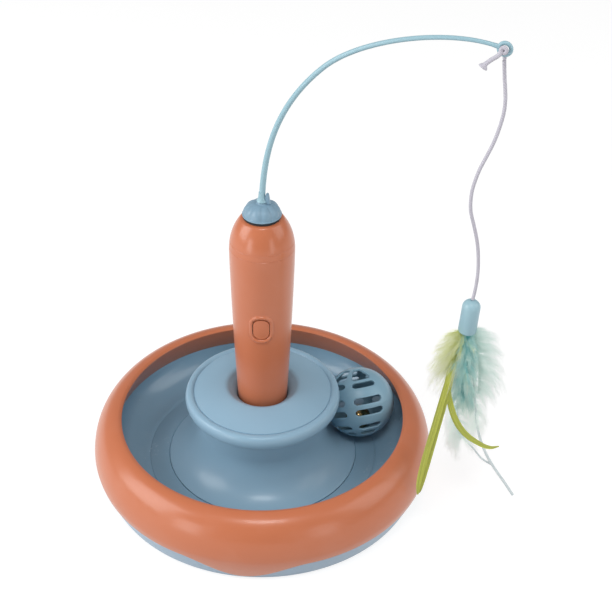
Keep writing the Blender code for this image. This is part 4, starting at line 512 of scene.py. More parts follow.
def moulded_group():
    """Moulded plastic: slow colour clouding, fine spark-eroded grain and faint handling marks."""
    if "moulded_plastic" in bpy.data.node_groups:
        return bpy.data.node_groups["moulded_plastic"]
    group = bpy.data.node_groups.new("moulded_plastic", 'ShaderNodeTree')
    sockets = group.interface
    sockets.new_socket(name="Place", in_out='INPUT', socket_type='NodeSocketVector')
    colour = sockets.new_socket(name="Colour", in_out='INPUT', socket_type='NodeSocketColor')
    colour.default_value = (0.5, 0.5, 0.5, 1.0)
    for name, value in (("Gloss", 0.35), ("Clouding", 0.05), ("Grain size", 1800.0), ("Marks", 0.5)):
        socket = sockets.new_socket(name=name, in_out='INPUT', socket_type='NodeSocketFloat')
        socket.default_value = value
    for name, kind in (("Colour", 'Color'), ("Roughness", 'Float'), ("Height", 'Float')):
        sockets.new_socket(name=name, in_out='OUTPUT', socket_type='NodeSocket' + kind)
    start = group.nodes.new('NodeGroupInput').outputs
    end = group.nodes.new('NodeGroupOutput')
    cloud = centred(group, noise_on(group, start["Place"], 34.0, 3.0))
    grain = noise_on(group, start["Place"], start["Grain size"])
    marks = noise_on(group, start["Place"], 260.0, 5.0, 1.5)
    swing = product(group, cloud, start["Clouding"])
    lighter = mix_colour(group, maths(group, 'MULTIPLY', swing, 4.0, True), start["Colour"],
                         (1.0, 1.0, 1.0, 1.0))
    darker = mix_colour(group, maths(group, 'MULTIPLY', swing, -4.0, True), lighter, (0.05, 0.04, 0.04, 1.0))
    rubbed = product(group, product(group, between(group, marks, 0.52, 0.80), start["Marks"]), 0.12)
    gloss = maths(group, 'ADD', maths(group, 'ADD', start["Gloss"], rubbed), product(group, cloud, 0.10))
    feed(end, {"Colour": darker, "Roughness": gloss, "Height": grain})
    return group


def new_material(name):
    material = bpy.data.materials.new(name)
    material.use_nodes = True
    tree = material.node_tree
    return material, tree, tree.nodes["Principled BSDF"]


def place_on(tree, centre=(0, 0, 0)):
    """Object coordinates, centred on a piece."""
    inputs = {"Vector": add_node(tree, 'ShaderNodeTexCoord').outputs["Object"],
              "Location": [-value for value in centre]}
    return add_node(tree, 'ShaderNodeMapping', inputs).outputs["Vector"]


def bump_on(tree, shader, height, strength, distance):
    bump = add_node(tree, 'ShaderNodeBump', {"Strength": strength, "Distance": distance, "Height": height})
    feed(shader, {"Normal": bump.outputs["Normal"]})


def skin_on(tree, shader, inputs):
    """Let the moulded group feed a shader, and give its height."""
    skin = add_node(tree, 'ShaderNodeGroup', inputs, node_tree=moulded_group()).outputs
    feed(shader, {"Base Color": skin["Colour"], "Roughness": skin["Roughness"]})
    return skin["Height"]


def plastic(name, colour, gloss=0.33, clouding=0.03, grain=4200.0, marks=0.3, bump=0.03, coat=0.0,
            coat_roughness=0.15, centre=(0, 0, 0)):
    """Moulded plastic of one colour."""
    material, tree, shader = new_material(name)
    height = skin_on(tree, shader, {"Place": place_on(tree, centre), "Colour": colour, "Gloss": gloss,
                                    "Clouding": clouding, "Grain size": grain, "Marks": marks})
    bump_on(tree, shader, height, bump, 0.00004)
    feed(shader, {"IOR": 1.47, "Coat Weight": coat, "Coat Roughness": coat_roughness})
    return material


def metal(name, colour, gloss, clouding=0.08, marks=0.9, bump=0.08, depth=0.00004, centre=(0, 0, 0)):
    """Plain metal with faint marks."""
    material, tree, shader = new_material(name)
    height = skin_on(tree, shader, {"Place": place_on(tree, centre), "Colour": colour, "Gloss": gloss,
                                    "Clouding": clouding, "Marks": marks})
    bump_on(tree, shader, height, bump, depth)
    feed(shader, {"Metallic": 1.0})
    return material


def cell_material():
    """A plain battery sleeve: slate, with a pale band."""
    material, tree, shader = new_material("cell_sleeve")
    place = place_on(tree)
    height = add_node(tree, 'ShaderNodeSeparateXYZ', {0: place}).outputs["Z"]
    band = product(tree, maths(tree, 'GREATER_THAN', height, 0.084), maths(tree, 'LESS_THAN', height, 0.094))
    sleeve = mix_colour(tree, band, seen(70, 82, 92), seen(188, 196, 200))
    skin_on(tree, shader, {"Place": place, "Colour": sleeve, "Gloss": 0.25})
    return material


def rubber(colour):
    """Matt black rubber with a dusty bloom."""
    return plastic("matt_rubber", colour, 0.72, 0.12, 2600.0, 0.8, 0.10)


# Camera and stage, as solved from the photograph's circles

CAMERA_PLACE = (0.0, -0.67440, 0.61847)
CAMERA_FORWARD = Vector((0.035542, 0.815647, -0.577457))
CAMERA_TURN = radians(2.495)
CAMERA_ROLL = radians(1.216)
SENSOR_WIDTH = 36
FOCAL_PIXELS = 1227.93
PHOTO_PIXELS = 612

# Name, place, height that it aims at, width, height and power
LAMPS = (
    ("left_softbox", (-1.32, -0.22, 0.84), 0.10, 0.95, 1.20, 14.5),
    ("right_softbox", (1.20, -0.20, 0.85), 0.08, 0.90, 1.10, 6.0),
    ("top_softbox", (0.0, -0.58, 1.38), 0.05, 0.42, 0.30, 4.6),
    ("low_left_strip", (-0.80, -0.82, 0.24), 0.15, 0.30, 0.58, 2.2),
    ("low_right_strip", (0.66, -0.94, 0.24), 0.15, 0.30, 0.58, 1.2),
)
WHITE = (1, 1, 1, 1)


class CameraOperator(bpy.types.Operator):
    """Set up the camera at the viewing place"""
    bl_idname = "cat_toy.camera"
    bl_label = "Camera"

    def execute(self, context):
        right = Vector((cos(CAMERA_TURN), -sin(CAMERA_TURN), 0))
        up = right.cross(CAMERA_FORWARD)
        side = right * cos(CAMERA_ROLL) + up * sin(CAMERA_ROLL)
        top = up * cos(CAMERA_ROLL) - right * sin(CAMERA_ROLL)
        lens = bpy.data.cameras.new("view_camera")
        lens.sensor_width = SENSOR_WIDTH
        lens.lens = SENSOR_WIDTH * FOCAL_PIXELS / PHOTO_PIXELS
        lens.clip_start = 0.01
        lens.clip_end = 20
        camera = bpy.data.objects.new("view_camera", lens)
        context.scene.collection.objects.link(camera)
        rows = zip(side, top, -CAMERA_FORWARD, CAMERA_PLACE)
        camera.matrix_world = Matrix((*rows, (0, 0, 0, 1)))
        context.scene.camera = camera
        return {'FINISHED'}


def soft_lamp(name, place, aim, width, height, power):
    lamp = bpy.data.lights.new(name, 'AREA')
    lamp.shape = 'RECTANGLE'
    lamp.size = width
    lamp.size_y = height
    lamp.energy = power
    holder = bpy.data.objects.new(name, lamp)
    bpy.context.scene.collection.objects.link(holder)
    holder.location = place
    holder.rotation_euler = (Vector((0, 0, aim)) - Vector(place)).to_track_quat('-Z', 'Y').to_euler()


def ray_is(tree, *kinds):
    """One where a ray is of any of these kinds."""
    path = add_node(tree, 'ShaderNodeLightPath').outputs
    result = path[kinds[0]]
    for kind in kinds[1:]:
        result = maths(tree, 'MAXIMUM', result, path[kind])
    return result


def choice(tree, factor, first, second):
    """One shader where the factor is nought, and the other where it is one."""
    inputs = {0: factor, 1: first.outputs[0], 2: second.outputs[0]}
    return add_node(tree, 'ShaderNodeMixShader', inputs).outputs[0]


class StageOperator(bpy.types.Operator):
    """Lay the pale floor and hang the lamps"""
    bl_idname = "cat_toy.stage"
    bl_label = "Stage"

    def execute(self, context):
        clear_selection()
        bpy.ops.mesh.primitive_plane_add(size=6, location=(0, 0, -0.0001))
        floor = named(context.active_object, "pale_floor")
        edit_mode()
        bpy.ops.mesh.subdivide(number_cuts=3)
        object_mode()
        apply_place(floor)
        material, tree, shader = new_material("pale_floor")
        tint = mix_colour(tree, noise_on(tree, place_on(tree), 3.0), (0.30, 0.30, 0.30, 1),
                          (0.31, 0.31, 0.31, 1))
        feed(shader, {"Base Color": tint, "Roughness": 0.9, "Specular IOR Level": 0.1})
        glow = add_node(tree, 'ShaderNodeEmission', {"Color": WHITE, "Strength": 0.79})
        both = add_node(tree, 'ShaderNodeAddShader', {0: shader.outputs[0], 1: glow.outputs[0]})
        plain = add_node(tree, 'ShaderNodeBsdfDiffuse', {"Color": (0.62, 0.62, 0.62, 1)})
        straight = ray_is(tree, "Is Camera Ray", "Is Glossy Ray", "Is Transmission Ray")
        feed(tree.nodes["Material Output"], {"Surface": choice(tree, straight, plain, both)})
        floor.data.materials.append(material)

        world = context.scene.world or bpy.data.worlds.new("studio")
        context.scene.world = world
        world.use_nodes = True
        tree = world.node_tree
        tree.nodes.clear()
        bright = add_node(tree, 'ShaderNodeBackground', {"Color": WHITE, "Strength": 1.0})
        soft = add_node(tree, 'ShaderNodeBackground', {"Color": WHITE, "Strength": 0.35})
        straight = ray_is(tree, "Is Camera Ray", "Is Transmission Ray")
        add_node(tree, 'ShaderNodeOutputWorld', {"Surface": choice(tree, straight, soft, bright)})

        for lamp in LAMPS:
            soft_lamp(*lamp)
        context.scene.view_settings.view_transform = 'Standard'
        return {'FINISHED'}


# Base

def skirt_radius(track, height):
    share = min(1.0, max(0.0, (track.bulge_height - height) / track.bulge_height))
    return track.base_radius - (track.base_radius - track.skirt_foot) * share ** 1.4


def crown_point(track, share, inset=0.0):
    centre = track.rim_radius + track.crown_setback
    top = track.rim_height + track.crown_rise
    angle = share * pi / 2
    return (centre + (track.base_radius - centre - inset) * sin(angle),
            track.bulge_height + (top - track.bulge_height - inset) * cos(angle))


def tongue_drop(track, angle):
    offset = abs((angle - TONGUE_BEARING + pi / 4) % (pi / 2) - pi / 4)
    if offset >= TONGUE_HALF:
        return 0.0
    return (track.parting - track.tongue_low) * (1 + cos(pi * offset / TONGUE_HALF)) / 2


def follow_tongues(piece, track, edge_share):
    """Let the rows near the parting dip with the tongues, along the skirt."""
    for vertex in piece.data.vertices:
        x, y, height = vertex.co
        radius = hypot(x, y)
        share = edge_share(radius, height)
        if share <= 0:
            continue
        lowered = height - share * tongue_drop(track, atan2(y, x))
        inset = skirt_radius(track, height) - radius
        scale = (skirt_radius(track, lowered) - inset) / radius
        vertex.co = (x * scale, y * scale, lowered)


class RingOperator(bpy.types.Operator):
    """Model the orange ring round the track"""
    bl_idname = "cat_toy.ring"
    bl_label = "Orange Ring"

    def execute(self, context):
        track = context.scene.toy_track
        rim = (track.rim_radius, track.rim_height)
        foot = (track.rim_radius + track.undercut, track.rim_height - track.lip_depth)
        crown = [crown_point(track, index / 40) for index in range(41)]
        rows = 12
        drop = (track.bulge_height - track.parting) / rows
        skirt = [(skirt_radius(track, track.bulge_height - drop * index),
                  track.bulge_height - drop * index) for index in range(1, rows + 1)]
        edge, low = skirt.pop()
        inner = [crown_point(track, share, track.wall) for share in (1.0, 0.85, 0.70, 0.55, 0.42)]
        profile = [rim, *crown, *skirt, (edge, low + 0.0006), (edge - 0.00005, low + 0.0003),
                   (edge - 0.0002, low + 0.0001), (edge - 0.0005, low), (edge - track.wall, low),
                   (edge - track.wall + 0.001, track.bulge_height - 0.001), *inner,
                   (foot[0] + track.wall, foot[1] + 0.008), (foot[0] + track.wall, foot[1]), foot]
        ring = lathe("ring_moulding", softened(profile, 0.00035, 3, True, radians(30)), 224)

        def edge_share(radius, height):
            if radius < skirt_radius(track, height) - 1.5 * track.wall:
                return 0.0
            return (track.bulge_height - height) / (track.bulge_height - track.parting)

        follow_tongues(ring, track, edge_share)
        shade = plastic("orange_moulding", context.scene.toy_colours.orange, 0.32, 0.02, marks=0.5, bump=0.02,
                        coat=0.22, coat_roughness=0.16)
        settle(ring, "base", "orange_plastic", shade, "outer_ring")
        return {'FINISHED'}


class BottomShellOperator(bpy.types.Operator):
    """Model the pale blue shell under the ring, with its recesses"""
    bl_idname = "cat_toy.bottom_shell"
    bl_label = "Bottom Shell"

    def execute(self, context):
        track = context.scene.toy_track
        skin_edge = track.parting - GAP
        skin_foot = 0.0009
        inside = 0.003
        rib = crown_point(track, 1.0, track.wall)[0] - 4 * GAP
        step = skirt_radius(track, skin_edge) - track.wall - GAP
        flange = track.rim_height - track.lip_depth - 2 * GAP - 0.0020
        boss_top = context.scene.toy_pedestal.socket_floor - 0.0024
        rows = 14
        skin = []
        for index in range(rows + 1):
            height = skin_edge - (skin_edge - skin_foot) * index / rows
            skin.append((skirt_radius(track, height) - 0.0008, height))
        foot = skin[-1][0]
        profile = [(0, inside), (0.0134, inside), (0.0134, boss_top), (0.016, boss_top), (0.016, inside),
                   (foot - 0.0072, inside), (foot - 0.0036, 0.0048), (rib - 0.0018, track.bulge_height),
                   (rib - 0.0018, flange), (rib, flange), (rib, track.bulge_height), (step, skin_edge),
                   *skin, (foot - 0.0004, 0.0003), (foot - 0.0018, 0), (0, 0)]
        shell = lathe("shell_moulding", softened(profile, 0.0003, 2, False, radians(30)), 192, False)

        def edge_share(radius, height):
            if height > skin_edge + 0.0001 or height < 0.001 or radius < step - 0.0003:
                return 0.0
            if radius < skirt_radius(track, height) - 0.0015 and height < skin_edge - 0.0004:
                return 0.0
            return (height - skin_foot) / (skin_edge - skin_foot)

        follow_tongues(shell, track, edge_share)
        for screw, pad in zip(circle_points(SCREW_CIRCLE, 4, 0.5), circle_points(PAD_CIRCLE, 4)):
            for place, radius, count, depth in ((screw, 0.0018, 32, 0.0045), (screw, 0.0032, 32, 0.0018),
                                                (pad, 0.0093, 48, 0.0018)):
                punch(shell, circle_points(radius, count), place, -0.001, depth)
        finish_shape(shell)
        shade = plastic("band_moulding", context.scene.toy_colours.band_blue, 0.36, 0.02, marks=0.4)
        settle(shell, "base", "pale_blue_plastic", shade, "bottom_shell")
        return {'FINISHED'}


class TrayOperator(bpy.types.Operator):
    """Model the tray that the ball runs in"""
    bl_idname = "cat_toy.tray"
    bl_label = "Track Tray"

    def execute(self, context):
        track = context.scene.toy_track
        floor = track.floor
        line = track.line_radius
        wall = 0.002
        flange_top = track.rim_height - track.lip_depth - GAP
        width = (track.rim_radius + track.undercut - track.rise_radius) / 0.975
        centre = floor + track.trough_height
        trough = []
        for index in range(25):
            share = 0.975 * sin(index / 24 * pi / 2)
            trough.append((track.rise_radius + share * width,
                           centre - track.trough_height * sqrt(1 - share * share)))
        trough[-1] = (trough[-1][0], flange_top)
        under = []
        for share in (0.78, 0.6, 0.45, 0.2, 0.0):
            under.append((track.rise_radius + share * (width + wall),
                          centre - (track.trough_height + wall) * sqrt(1 - share * share)))
        flange = crown_point(track, 1.0, track.wall)[0] - 6 * GAP
        seam = track.seam_radius + GAP / 2
        profile = [(seam - GAP + 0.00005, floor - 0.0007), (seam - 0.00005, floor - 0.0007),
                   (seam, floor - 0.0003), (seam + 0.0003, floor), (line - 0.0004, floor),
                   (line, floor - 0.0001), (line + 0.0002, floor - 0.0004), (line + 0.0006, floor - 0.0004),
                   (line + 0.0010, floor - 0.0001), *trough[1:], (flange, flange_top),
                   (flange, flange_top - wall), (trough[-1][0] + wall, flange_top - wall), *under,
                   (seam - GAP + 0.00005, floor - wall)]
        tray = lathe("tray_moulding", profile, 192)
        # Partly painted shade: the tray's blue is darker than the disc's to darken the track floor.
        shade = plastic("deep_blue_moulding", context.scene.toy_colours.deep_blue, 0.24, 0.02, bump=0.015,
                        coat=0.25, coat_roughness=0.08)
        settle(tray, "base", "deep_blue_plastic", shade, "track_tray")
        return {'FINISHED'}


class PedestalOperator(bpy.types.Operator):
    """Model the pedestal, its rolled disc and the top plate with the socket"""
    bl_idname = "cat_toy.pedestal"
    bl_label = "Pedestal"

    def execute(self, context):
        track = context.scene.toy_track
        size = context.scene.toy_pedestal
        top = size.disc_top
        edge = size.plate_radius
        centre = (size.neck_radius + size.cove_radius, track.floor + size.cove_radius)
        foot = track.seam_radius - GAP / 2
        foot_angle = -pi / 2 - asin((centre[0] - foot) / size.cove_radius)

        def cove(share, wall=0.0):
            angle = foot_angle + share * (-pi - foot_angle)
            reach = size.cove_radius + wall
            return (centre[0] + reach * cos(angle), centre[1] + reach * sin(angle))

        groove = edge + size.groove
        roll = size.disc_radius - groove
        roll_low = top - size.roll_height
        roll_shares = ((0.10, 1.0), (0.35, 1.0), (0.66, 0.95), (0.86, 0.82), (0.97, 0.64), (1.0, 0.47),
                       (0.96, 0.30), (0.86, 0.15), (0.72, 0.05), (0.54, 0.0))
        rolled = smooth_profile([(groove + across * roll, roll_low + up * size.roll_height)
                                 for across, up in roll_shares], 3)
        ledge = edge + 0.0001
        ledge_top = track.floor - 0.002 - GAP
        plate_low = top - PLATE_WALL
        neck_top = (size.neck_radius + roll / 2, roll_low - roll / 3)
        flank = [cove(1 - index / 28) for index in range(29)]
        profile = [(ledge, top - 0.0009), (ledge + 0.0003, top - 0.0009), (groove - 0.0005, top - 0.0006),
                   (groove, top - 0.0002), *rolled, neck_top, *flank,
                   (foot, ledge_top), (foot + 0.0036, ledge_top), (foot + 0.0036, ledge_top - 0.0018),
                   *[cove(share, 0.002) for share in (0.15, 0.4, 0.7, 1.0)],
                   (neck_top[0] - 0.002, neck_top[1]), (size.neck_radius + 0.0005, plate_low - 0.002),
                   (size.neck_radius + 0.0005, plate_low - GAP), (ledge, plate_low - GAP)]
        body = lathe("pedestal_moulding", profile, 176, True, 40)
        blue = context.scene.toy_colours.disc_blue
        shade = plastic("pedestal_moulding", blue, 0.32, 0.02, bump=0.015, coat=0.10, coat_roughness=0.10)
        settle(body, "base", "blue_plastic", shade, "pedestal")

        mound_top = top + size.mound_rise
        funnel_shares = ((0.0, 1.0), (0.012, 0.92), (0.04, 0.83), (0.09, 0.745), (0.17, 0.655),
                         (0.27, 0.56), (0.42, 0.40), (0.60, 0.24), (0.80, 0.09), (1.0, 0.0))
        lip = size.funnel_radius + size.lip_round
        mouth = size.socket_radius + size.socket_gap
        funnel = smooth_profile([(mouth + (lip - mouth) * across, mound_top - size.funnel_depth * down)
                                 for down, across in funnel_shares], 4)
        funnel.append((size.socket_radius, mound_top - size.funnel_depth - 0.004))
        funnel.reverse()
        sleeve = size.socket_radius + PLATE_WALL
        floor = size.socket_floor
        under = floor - 0.0021
        mound = []
        for index in range(1, 30):
            share = index / 30
            mound.append((lip + (edge - 0.0010 - lip) * share, mound_top - size.mound_rise * share ** 1.5))
        profile = [(0, floor), (size.socket_radius - 0.0006, floor), (size.socket_radius, floor + 0.0006),
                   *funnel, *mound, (edge - 0.0010, top), (edge - 0.0006, top - 0.00008),
                   (edge - 0.0002, top - 0.0003), (edge, top - 0.0006), (edge, plate_low),
                   (edge - 0.003, plate_low), (size.funnel_radius + 0.005, mound_top - PLATE_WALL),
                   (size.funnel_radius, mound_top - PLATE_WALL), (sleeve, mound_top - size.funnel_depth),
                   (sleeve, under), (0, under)]
        plate = lathe("plate_moulding", profile, 160, False)
        shade = plastic("disc_moulding", blue, 0.42, 0.02, marks=0.4, bump=0.04)
        settle(plate, "base", "blue_plastic", shade, "pedestal_top")
        return {'FINISHED'}


# Ball: where its slots start and end, in degrees round it and up from its seam

SLOT_STARTS = (-9.0, 106.0, 171.0, 286.0)
SLOT_SPAN = 50.0
SLOT_ROWS = {1: ((4.0, 15.0), (32.0, 42.0), (47.0, 76.0)), -1: ((4.0, 15.0), (32.0, 43.0), (49.0, 60.0))}
SLOT_ROUNDING = 4.6
POLE_ROUNDING = 2.2    # of the rows above 45 degrees
POLE = 87.0
SEAM_HALF = 0.00003    # half the gap between the two halves


def net_lines(limits, step):
    """Even steps between given stops."""
    lines = []
    for low, high in zip(limits, limits[1:]):
        count = max(1, round((high - low) / step))
        lines += [low + (high - low) * index / count for index in range(count)]
    return lines


def round_ends(longitude, latitude, rows):
    """Shift a point of the net so that the slots get round corners."""
    for low, high in rows:
        rounding = SLOT_ROUNDING if low < 45 else POLE_ROUNDING
        middle = (low + high) / 2
        inward = min(latitude - low, high - latitude)
        if inward > rounding or inward < -0.45 * rounding:
            continue
        level = 1 - max(0.0, inward) / rounding
        fade = 1.0 if inward >= 0 else 1 + inward / (0.45 * rounding)
        widest = rounding / cos(radians(middle))
        bow = widest * (1 - sqrt(1 - level ** 2)) * fade
        for start in SLOT_STARTS:
            for edge, way in ((start, 1), (start + SLOT_SPAN, -1)):
                offset = ((longitude - edge + 180) % 360 - 180) * way
                if 0 <= offset < 2 * widest:
                    longitude += way * bow * (1 - offset / (2 * widest))
                elif -6 < offset < 0:
                    longitude += way * bow * (1 + offset / 6)
    return longitude


def ball_half(name, side, size):
    """A half of the ball: a net with its slots left open, then given a wall."""
    rows = SLOT_ROWS[side]
    last = SLOT_STARTS[0] + 360
    stops = [edge for start in SLOT_STARTS for edge in (start, start + SLOT_SPAN)] + [last]
    longitudes = net_lines(stops, 3.2) + [last]
    latitudes = net_lines([0.0, *[limit for row in rows for limit in row], POLE], 2.8) + [POLE]
    across = len(longitudes)
    clear_selection()
    bpy.ops.mesh.primitive_grid_add(x_subdivisions=across - 1, y_subdivisions=len(latitudes) - 1,
                                    size=1, location=(0, 0, 0))
    half = named(bpy.context.active_object, name)
    for index, vertex in enumerate(half.data.vertices):
        latitude = latitudes[index // across]
        turn = radians(round_ends(longitudes[index % across], latitude, rows))
        height = radians(latitude)
        place = Vector((cos(height) * cos(turn), cos(height) * sin(turn), sin(height))) * size.radius
        vertex.co = (place.x, place.y, side * (place.z + (SEAM_HALF if latitude == 0 else 0)))
    open_faces = []
    for face in half.data.polygons:
        column = min(vertex % across for vertex in face.vertices)
        row = min(vertex // across for vertex in face.vertices)
        longitude = (longitudes[column] + longitudes[column + 1]) / 2
        latitude = (latitudes[row] + latitudes[row + 1]) / 2
        in_row = any(low < latitude < high for low, high in rows)
        in_span = any(0 < (longitude - start) % 360 < SLOT_SPAN for start in SLOT_STARTS)
        if in_row and in_span:
            open_faces.append(face.index)
    pick(half)
    edit_mode('DESELECT')
    bpy.ops.mesh.select_mode(type='FACE')
    object_mode()
    for index in open_faces:
        half.data.polygons[index].select = True
    bpy.ops.object.mode_set(mode='EDIT')
    bpy.ops.mesh.delete(type='FACE')
    bpy.ops.mesh.select_mode(type='VERT')
    bpy.ops.mesh.select_all(action='SELECT')
    bpy.ops.mesh.remove_doubles(threshold=WELD)
    bpy.ops.mesh.select_all(action='DESELECT')
    object_mode()
    top = max(side * vertex.co.z for vertex in half.data.vertices)
    for vertex in half.data.vertices:
        vertex.select = side * vertex.co.z > top - 0.00001
    bpy.ops.object.mode_set(mode='EDIT')
    bpy.ops.mesh.edge_face_add()
    bpy.ops.mesh.select_all(action='SELECT')
    bpy.ops.mesh.normals_make_consistent(inside=False)
    object_mode()
    face = half.data.polygons[0]
    if face.normal.dot(face.center) < 0:
        edit_mode()
        bpy.ops.mesh.flip_normals()
        object_mode()
    apply_modifier(half, 'SOLIDIFY', thickness=size.wall, offset=-1.0, use_even_offset=True)
    edit_mode('DESELECT')
    bpy.ops.mesh.select_mode(type='EDGE')
    bpy.ops.mesh.edges_select_sharp(sharpness=radians(50))
    object_mode()
    bpy.context.tool_settings.mesh_select_mode = (True, False, False)
    weights = half.data.attributes.new("bevel_weight_edge", 'FLOAT', 'EDGE')
    corners = half.data.vertices
    for edge in half.data.edges:
        on_seam = all(abs(corners[index].co.z) < 0.0001 for index in edge.vertices)
        weights.data[edge.index].value = 1.0 if edge.select and not on_seam else 0.0
    apply_modifier(half, 'BEVEL', width=0.00042, segments=3, limit_method='WEIGHT', harden_normals=False)
    return smooth(half, 40)


def ball_place(size, floor):
    return Vector((size.track_radius * cos(BALL_BEARING), size.track_radius * sin(BALL_BEARING),
                   floor + size.radius + GAP))


def ball_turn():
    turn = Matrix.Rotation(radians(-93.3), 4, 'Z') @ Matrix.Rotation(radians(-29.9), 4, 'Y')
    return turn @ Matrix.Rotation(radians(11.4), 4, 'X')


class BallOperator(bpy.types.Operator):
    """Model the two halves of the slotted ball"""
    bl_idname = "cat_toy.ball"
    bl_label = "Slotted Ball"

    def execute(self, context):
        size = context.scene.toy_ball
        place = ball_place(size, context.scene.toy_track.floor)
        shade = plastic("ball_moulding", context.scene.toy_colours.ball_blue, 0.40, marks=0.5, coat=0.08,
                        coat_roughness=0.25, centre=place)
        for name, side, node in (("slotted_half_upper", 1, "ball_half_upper"),
                                 ("slotted_half_lower", -1, "ball_half_lower")):
            half = ball_half(name, side, size)
            half.data.transform(Matrix.Translation(place) @ ball_turn())
            settle(half, "ball", "blue_plastic", shade, node)
        return {'FINISHED'}


class BellOperator(bpy.types.Operator):
    """Model the golden bell inside the ball"""
    bl_idname = "cat_toy.bell"
    bl_label = "Bell"

    def execute(self, context):
        size = context.scene.toy_ball
        reach = size.bell_radius
        inner_reach = reach - 0.0008
        place = ball_place(size, context.scene.toy_track.floor)
        place.z -= size.radius - size.wall - reach - 2 * GAP
        outer = []
        inner = []
        for index in range(27):
            angle = index / 26 * (pi - asin(0.0016 / reach))
            swell = reach * (1.0 + (0.03 if abs(angle - pi / 2) < 0.06 else 0.0))
            outer.append((swell * sin(angle), swell * cos(angle)))
            inner.append((inner_reach * sin(angle), inner_reach * cos(angle)))
        bell = lathe("jingle_bell", outer + inner[::-1], 72, False)
        punch(bell, rounded_outline(0.0014, reach * 1.7, 0.0007), (0, 0), -reach * 1.2, -reach * 0.35)
        finish_shape(bell)
        bell.data.transform(Matrix.Translation(place))
        shade = metal("bell_metal", context.scene.toy_colours.bell, 0.22, 0.15, 1.0, 0.15, 0.00005, place)
        settle(bell, "bell", "bell_brass", shade, "ball_bell")
        return {'FINISHED'}


# Handle

def handle_radius(size, height):
    if height <= size.plug_top:
        return size.plug_radius
    if height <= size.belly:
        share = (height - size.plug_top) / (size.belly - size.plug_top)
        return size.plug_radius + (size.radius - size.plug_radius) * (1 - (1 - share) ** 1.35)
    return size.radius * sqrt(max(0.0, 1 - ((height - size.belly) / size.dome_rise) ** 2))


class HandleOperator(bpy.types.Operator):
    """Model the handle's barrel with the button's bezel, its dome and a dark rubber disc under the cap that
    paints the deep shade in the gap
    """
    bl_idname = "cat_toy.handle"
    bl_label = "Handle"

    def execute(self, context):
        size = context.scene.toy_handle
        low = context.scene.toy_pedestal.socket_floor + GAP + DOOR_HEIGHT + GAP

        def skin(height, inset=0.0):
            return (handle_radius(size, height) - inset, height)

        rows = [size.plug_top + (size.belly - size.plug_top) * index / 36 for index in range(37)]
        outer = [skin(size.seam, 0.0001), skin(size.seam - 0.0001), *[skin(row) for row in reversed(rows)],
                 (size.plug_radius, low + 0.0004), (size.plug_radius - 0.0004, low)]
        inner = [(size.plug_radius - size.wall, low), *[skin(row, size.wall) for row in rows[::4]],
                 skin(size.seam, size.wall)]
        barrel = lathe("barrel_moulding", outer + inner, 128)
        middle = size.button_height
        depth = handle_radius(size, middle)
        ridge = size.bezel_ridge / 2
        outline = rounded_outline(size.bezel_width - 2 * ridge, size.bezel_length - 2 * ridge, 0.0058, 16)
        wrapped = [(depth * sin(x / depth), -depth * cos(x / depth), middle + z) for x, z in outline]
        bezel = tube("bezel", wrapped, [ridge] * len(wrapped), 5, True)
        for vertex in bezel.data.vertices:
            across = hypot(vertex.co.x, vertex.co.y)
            scale = (depth + (across - depth) * 0.95 - 0.0001) / across
            vertex.co.x *= scale
            vertex.co.y *= scale
        boolean(barrel, bezel, 'UNION')
        outline = rounded_outline(size.button_width + 3 * GAP, size.button_length + 3 * GAP,
                                  size.button_corner + GAP, 14)
        hole = disc_block("hole", outline, depth / 2, 2 * depth)
        hole.data.transform(Matrix.Translation((0, 0, middle)) @ UPRIGHT)
        boolean(barrel, hole)
        bevel(barrel, 0.00022, 3, SHARP)
        smooth(turned(barrel, BUTTON_TURN), 32)
        colours = context.scene.toy_colours
        shade = plastic("handle_moulding", colours.orange, 0.30, 0.015, marks=0.15, bump=0.015, coat=0.25,
                        coat_roughness=0.14)
        settle(barrel, "handle", "orange_plastic", shade, "handle_barrel")

        seam = size.seam + 0.00005
        line = DOME_LINE
        top = size.dome_top
        bore = 0.0046
        rows = [seam + 0.0001, *[line + offset for offset in (-0.0004, -0.00015, 0.0, 0.00015, 0.0004)]]
        rows += [line + 0.0004 + (top - 0.0006 - line - 0.0004) * index / 28 for index in range(1, 29)]
        notches = [0.00012 if abs(row - line) < 0.0001 else 0.0 for row in rows]
        outer = [skin(seam, 0.0001), *map(skin, rows, notches), skin(top, 0.0008), (bore, top)]
        inner = [(bore, top - size.wall), (handle_radius(size, top) - size.wall, top - size.wall),
                 skin(0.2035, size.wall), skin(0.197, size.wall), skin(seam, size.wall)]
        dome = lathe("dome_moulding", outer + inner, 128, True, 28)
        settle(dome, "handle", "orange_plastic", shade, "handle_dome")

        # Painted shade: a near-black rubber disc fills the gap between the dome and the cap, standing in for
        # the deep shadow there.
        rim = context.scene.toy_spinner.radius - 0.0006
        bore = 0.0050
        low = top + 0.00005
        section = [(bore, low), (rim, low), (rim, low + SHADE_DISC_THICKNESS), (bore, low + SHADE_DISC_THICKNESS)]
        shade_disc = lathe("cap_shade_disc", softened(section, 0.0004, 4), 96)
        settle(shade_disc, "handle", "foot_rubber", rubber(colours.rubber))
        return {'FINISHED'}


class ButtonOperator(bpy.types.Operator):
    """Model the power button"""
    bl_idname = "cat_toy.button"
    bl_label = "Power Button"

    def execute(self, context):
        size = context.scene.toy_handle
        depth = handle_radius(size, size.button_height)
        outline = rounded_outline(size.button_width, size.button_length, size.button_corner, 14)
        button = disc_block("button_moulding", outline, depth - 0.0045, depth + 0.004)
        button.data.transform(Matrix.Translation((0, 0, size.button_height)) @ UPRIGHT)
        skin = lathe("skin", [(depth - 0.005, -0.02), (depth + 0.0006, -0.02), (depth + 0.0006, 0.02),
                              (depth - 0.005, 0.02)], 256)
        skin.data.transform(Matrix.Translation((0, 0, size.button_height)))
        boolean(button, skin, 'INTERSECT')
        bevel(button, 0.0009, 5, SHARP)
        smooth(turned(button, BUTTON_TURN), 32)
        shade = plastic("button_moulding", context.scene.toy_colours.orange, 0.38, 0.02)
        settle(button, "button", "orange_plastic", shade, "power_button")
        return {'FINISHED'}


# Spinner cap and wand

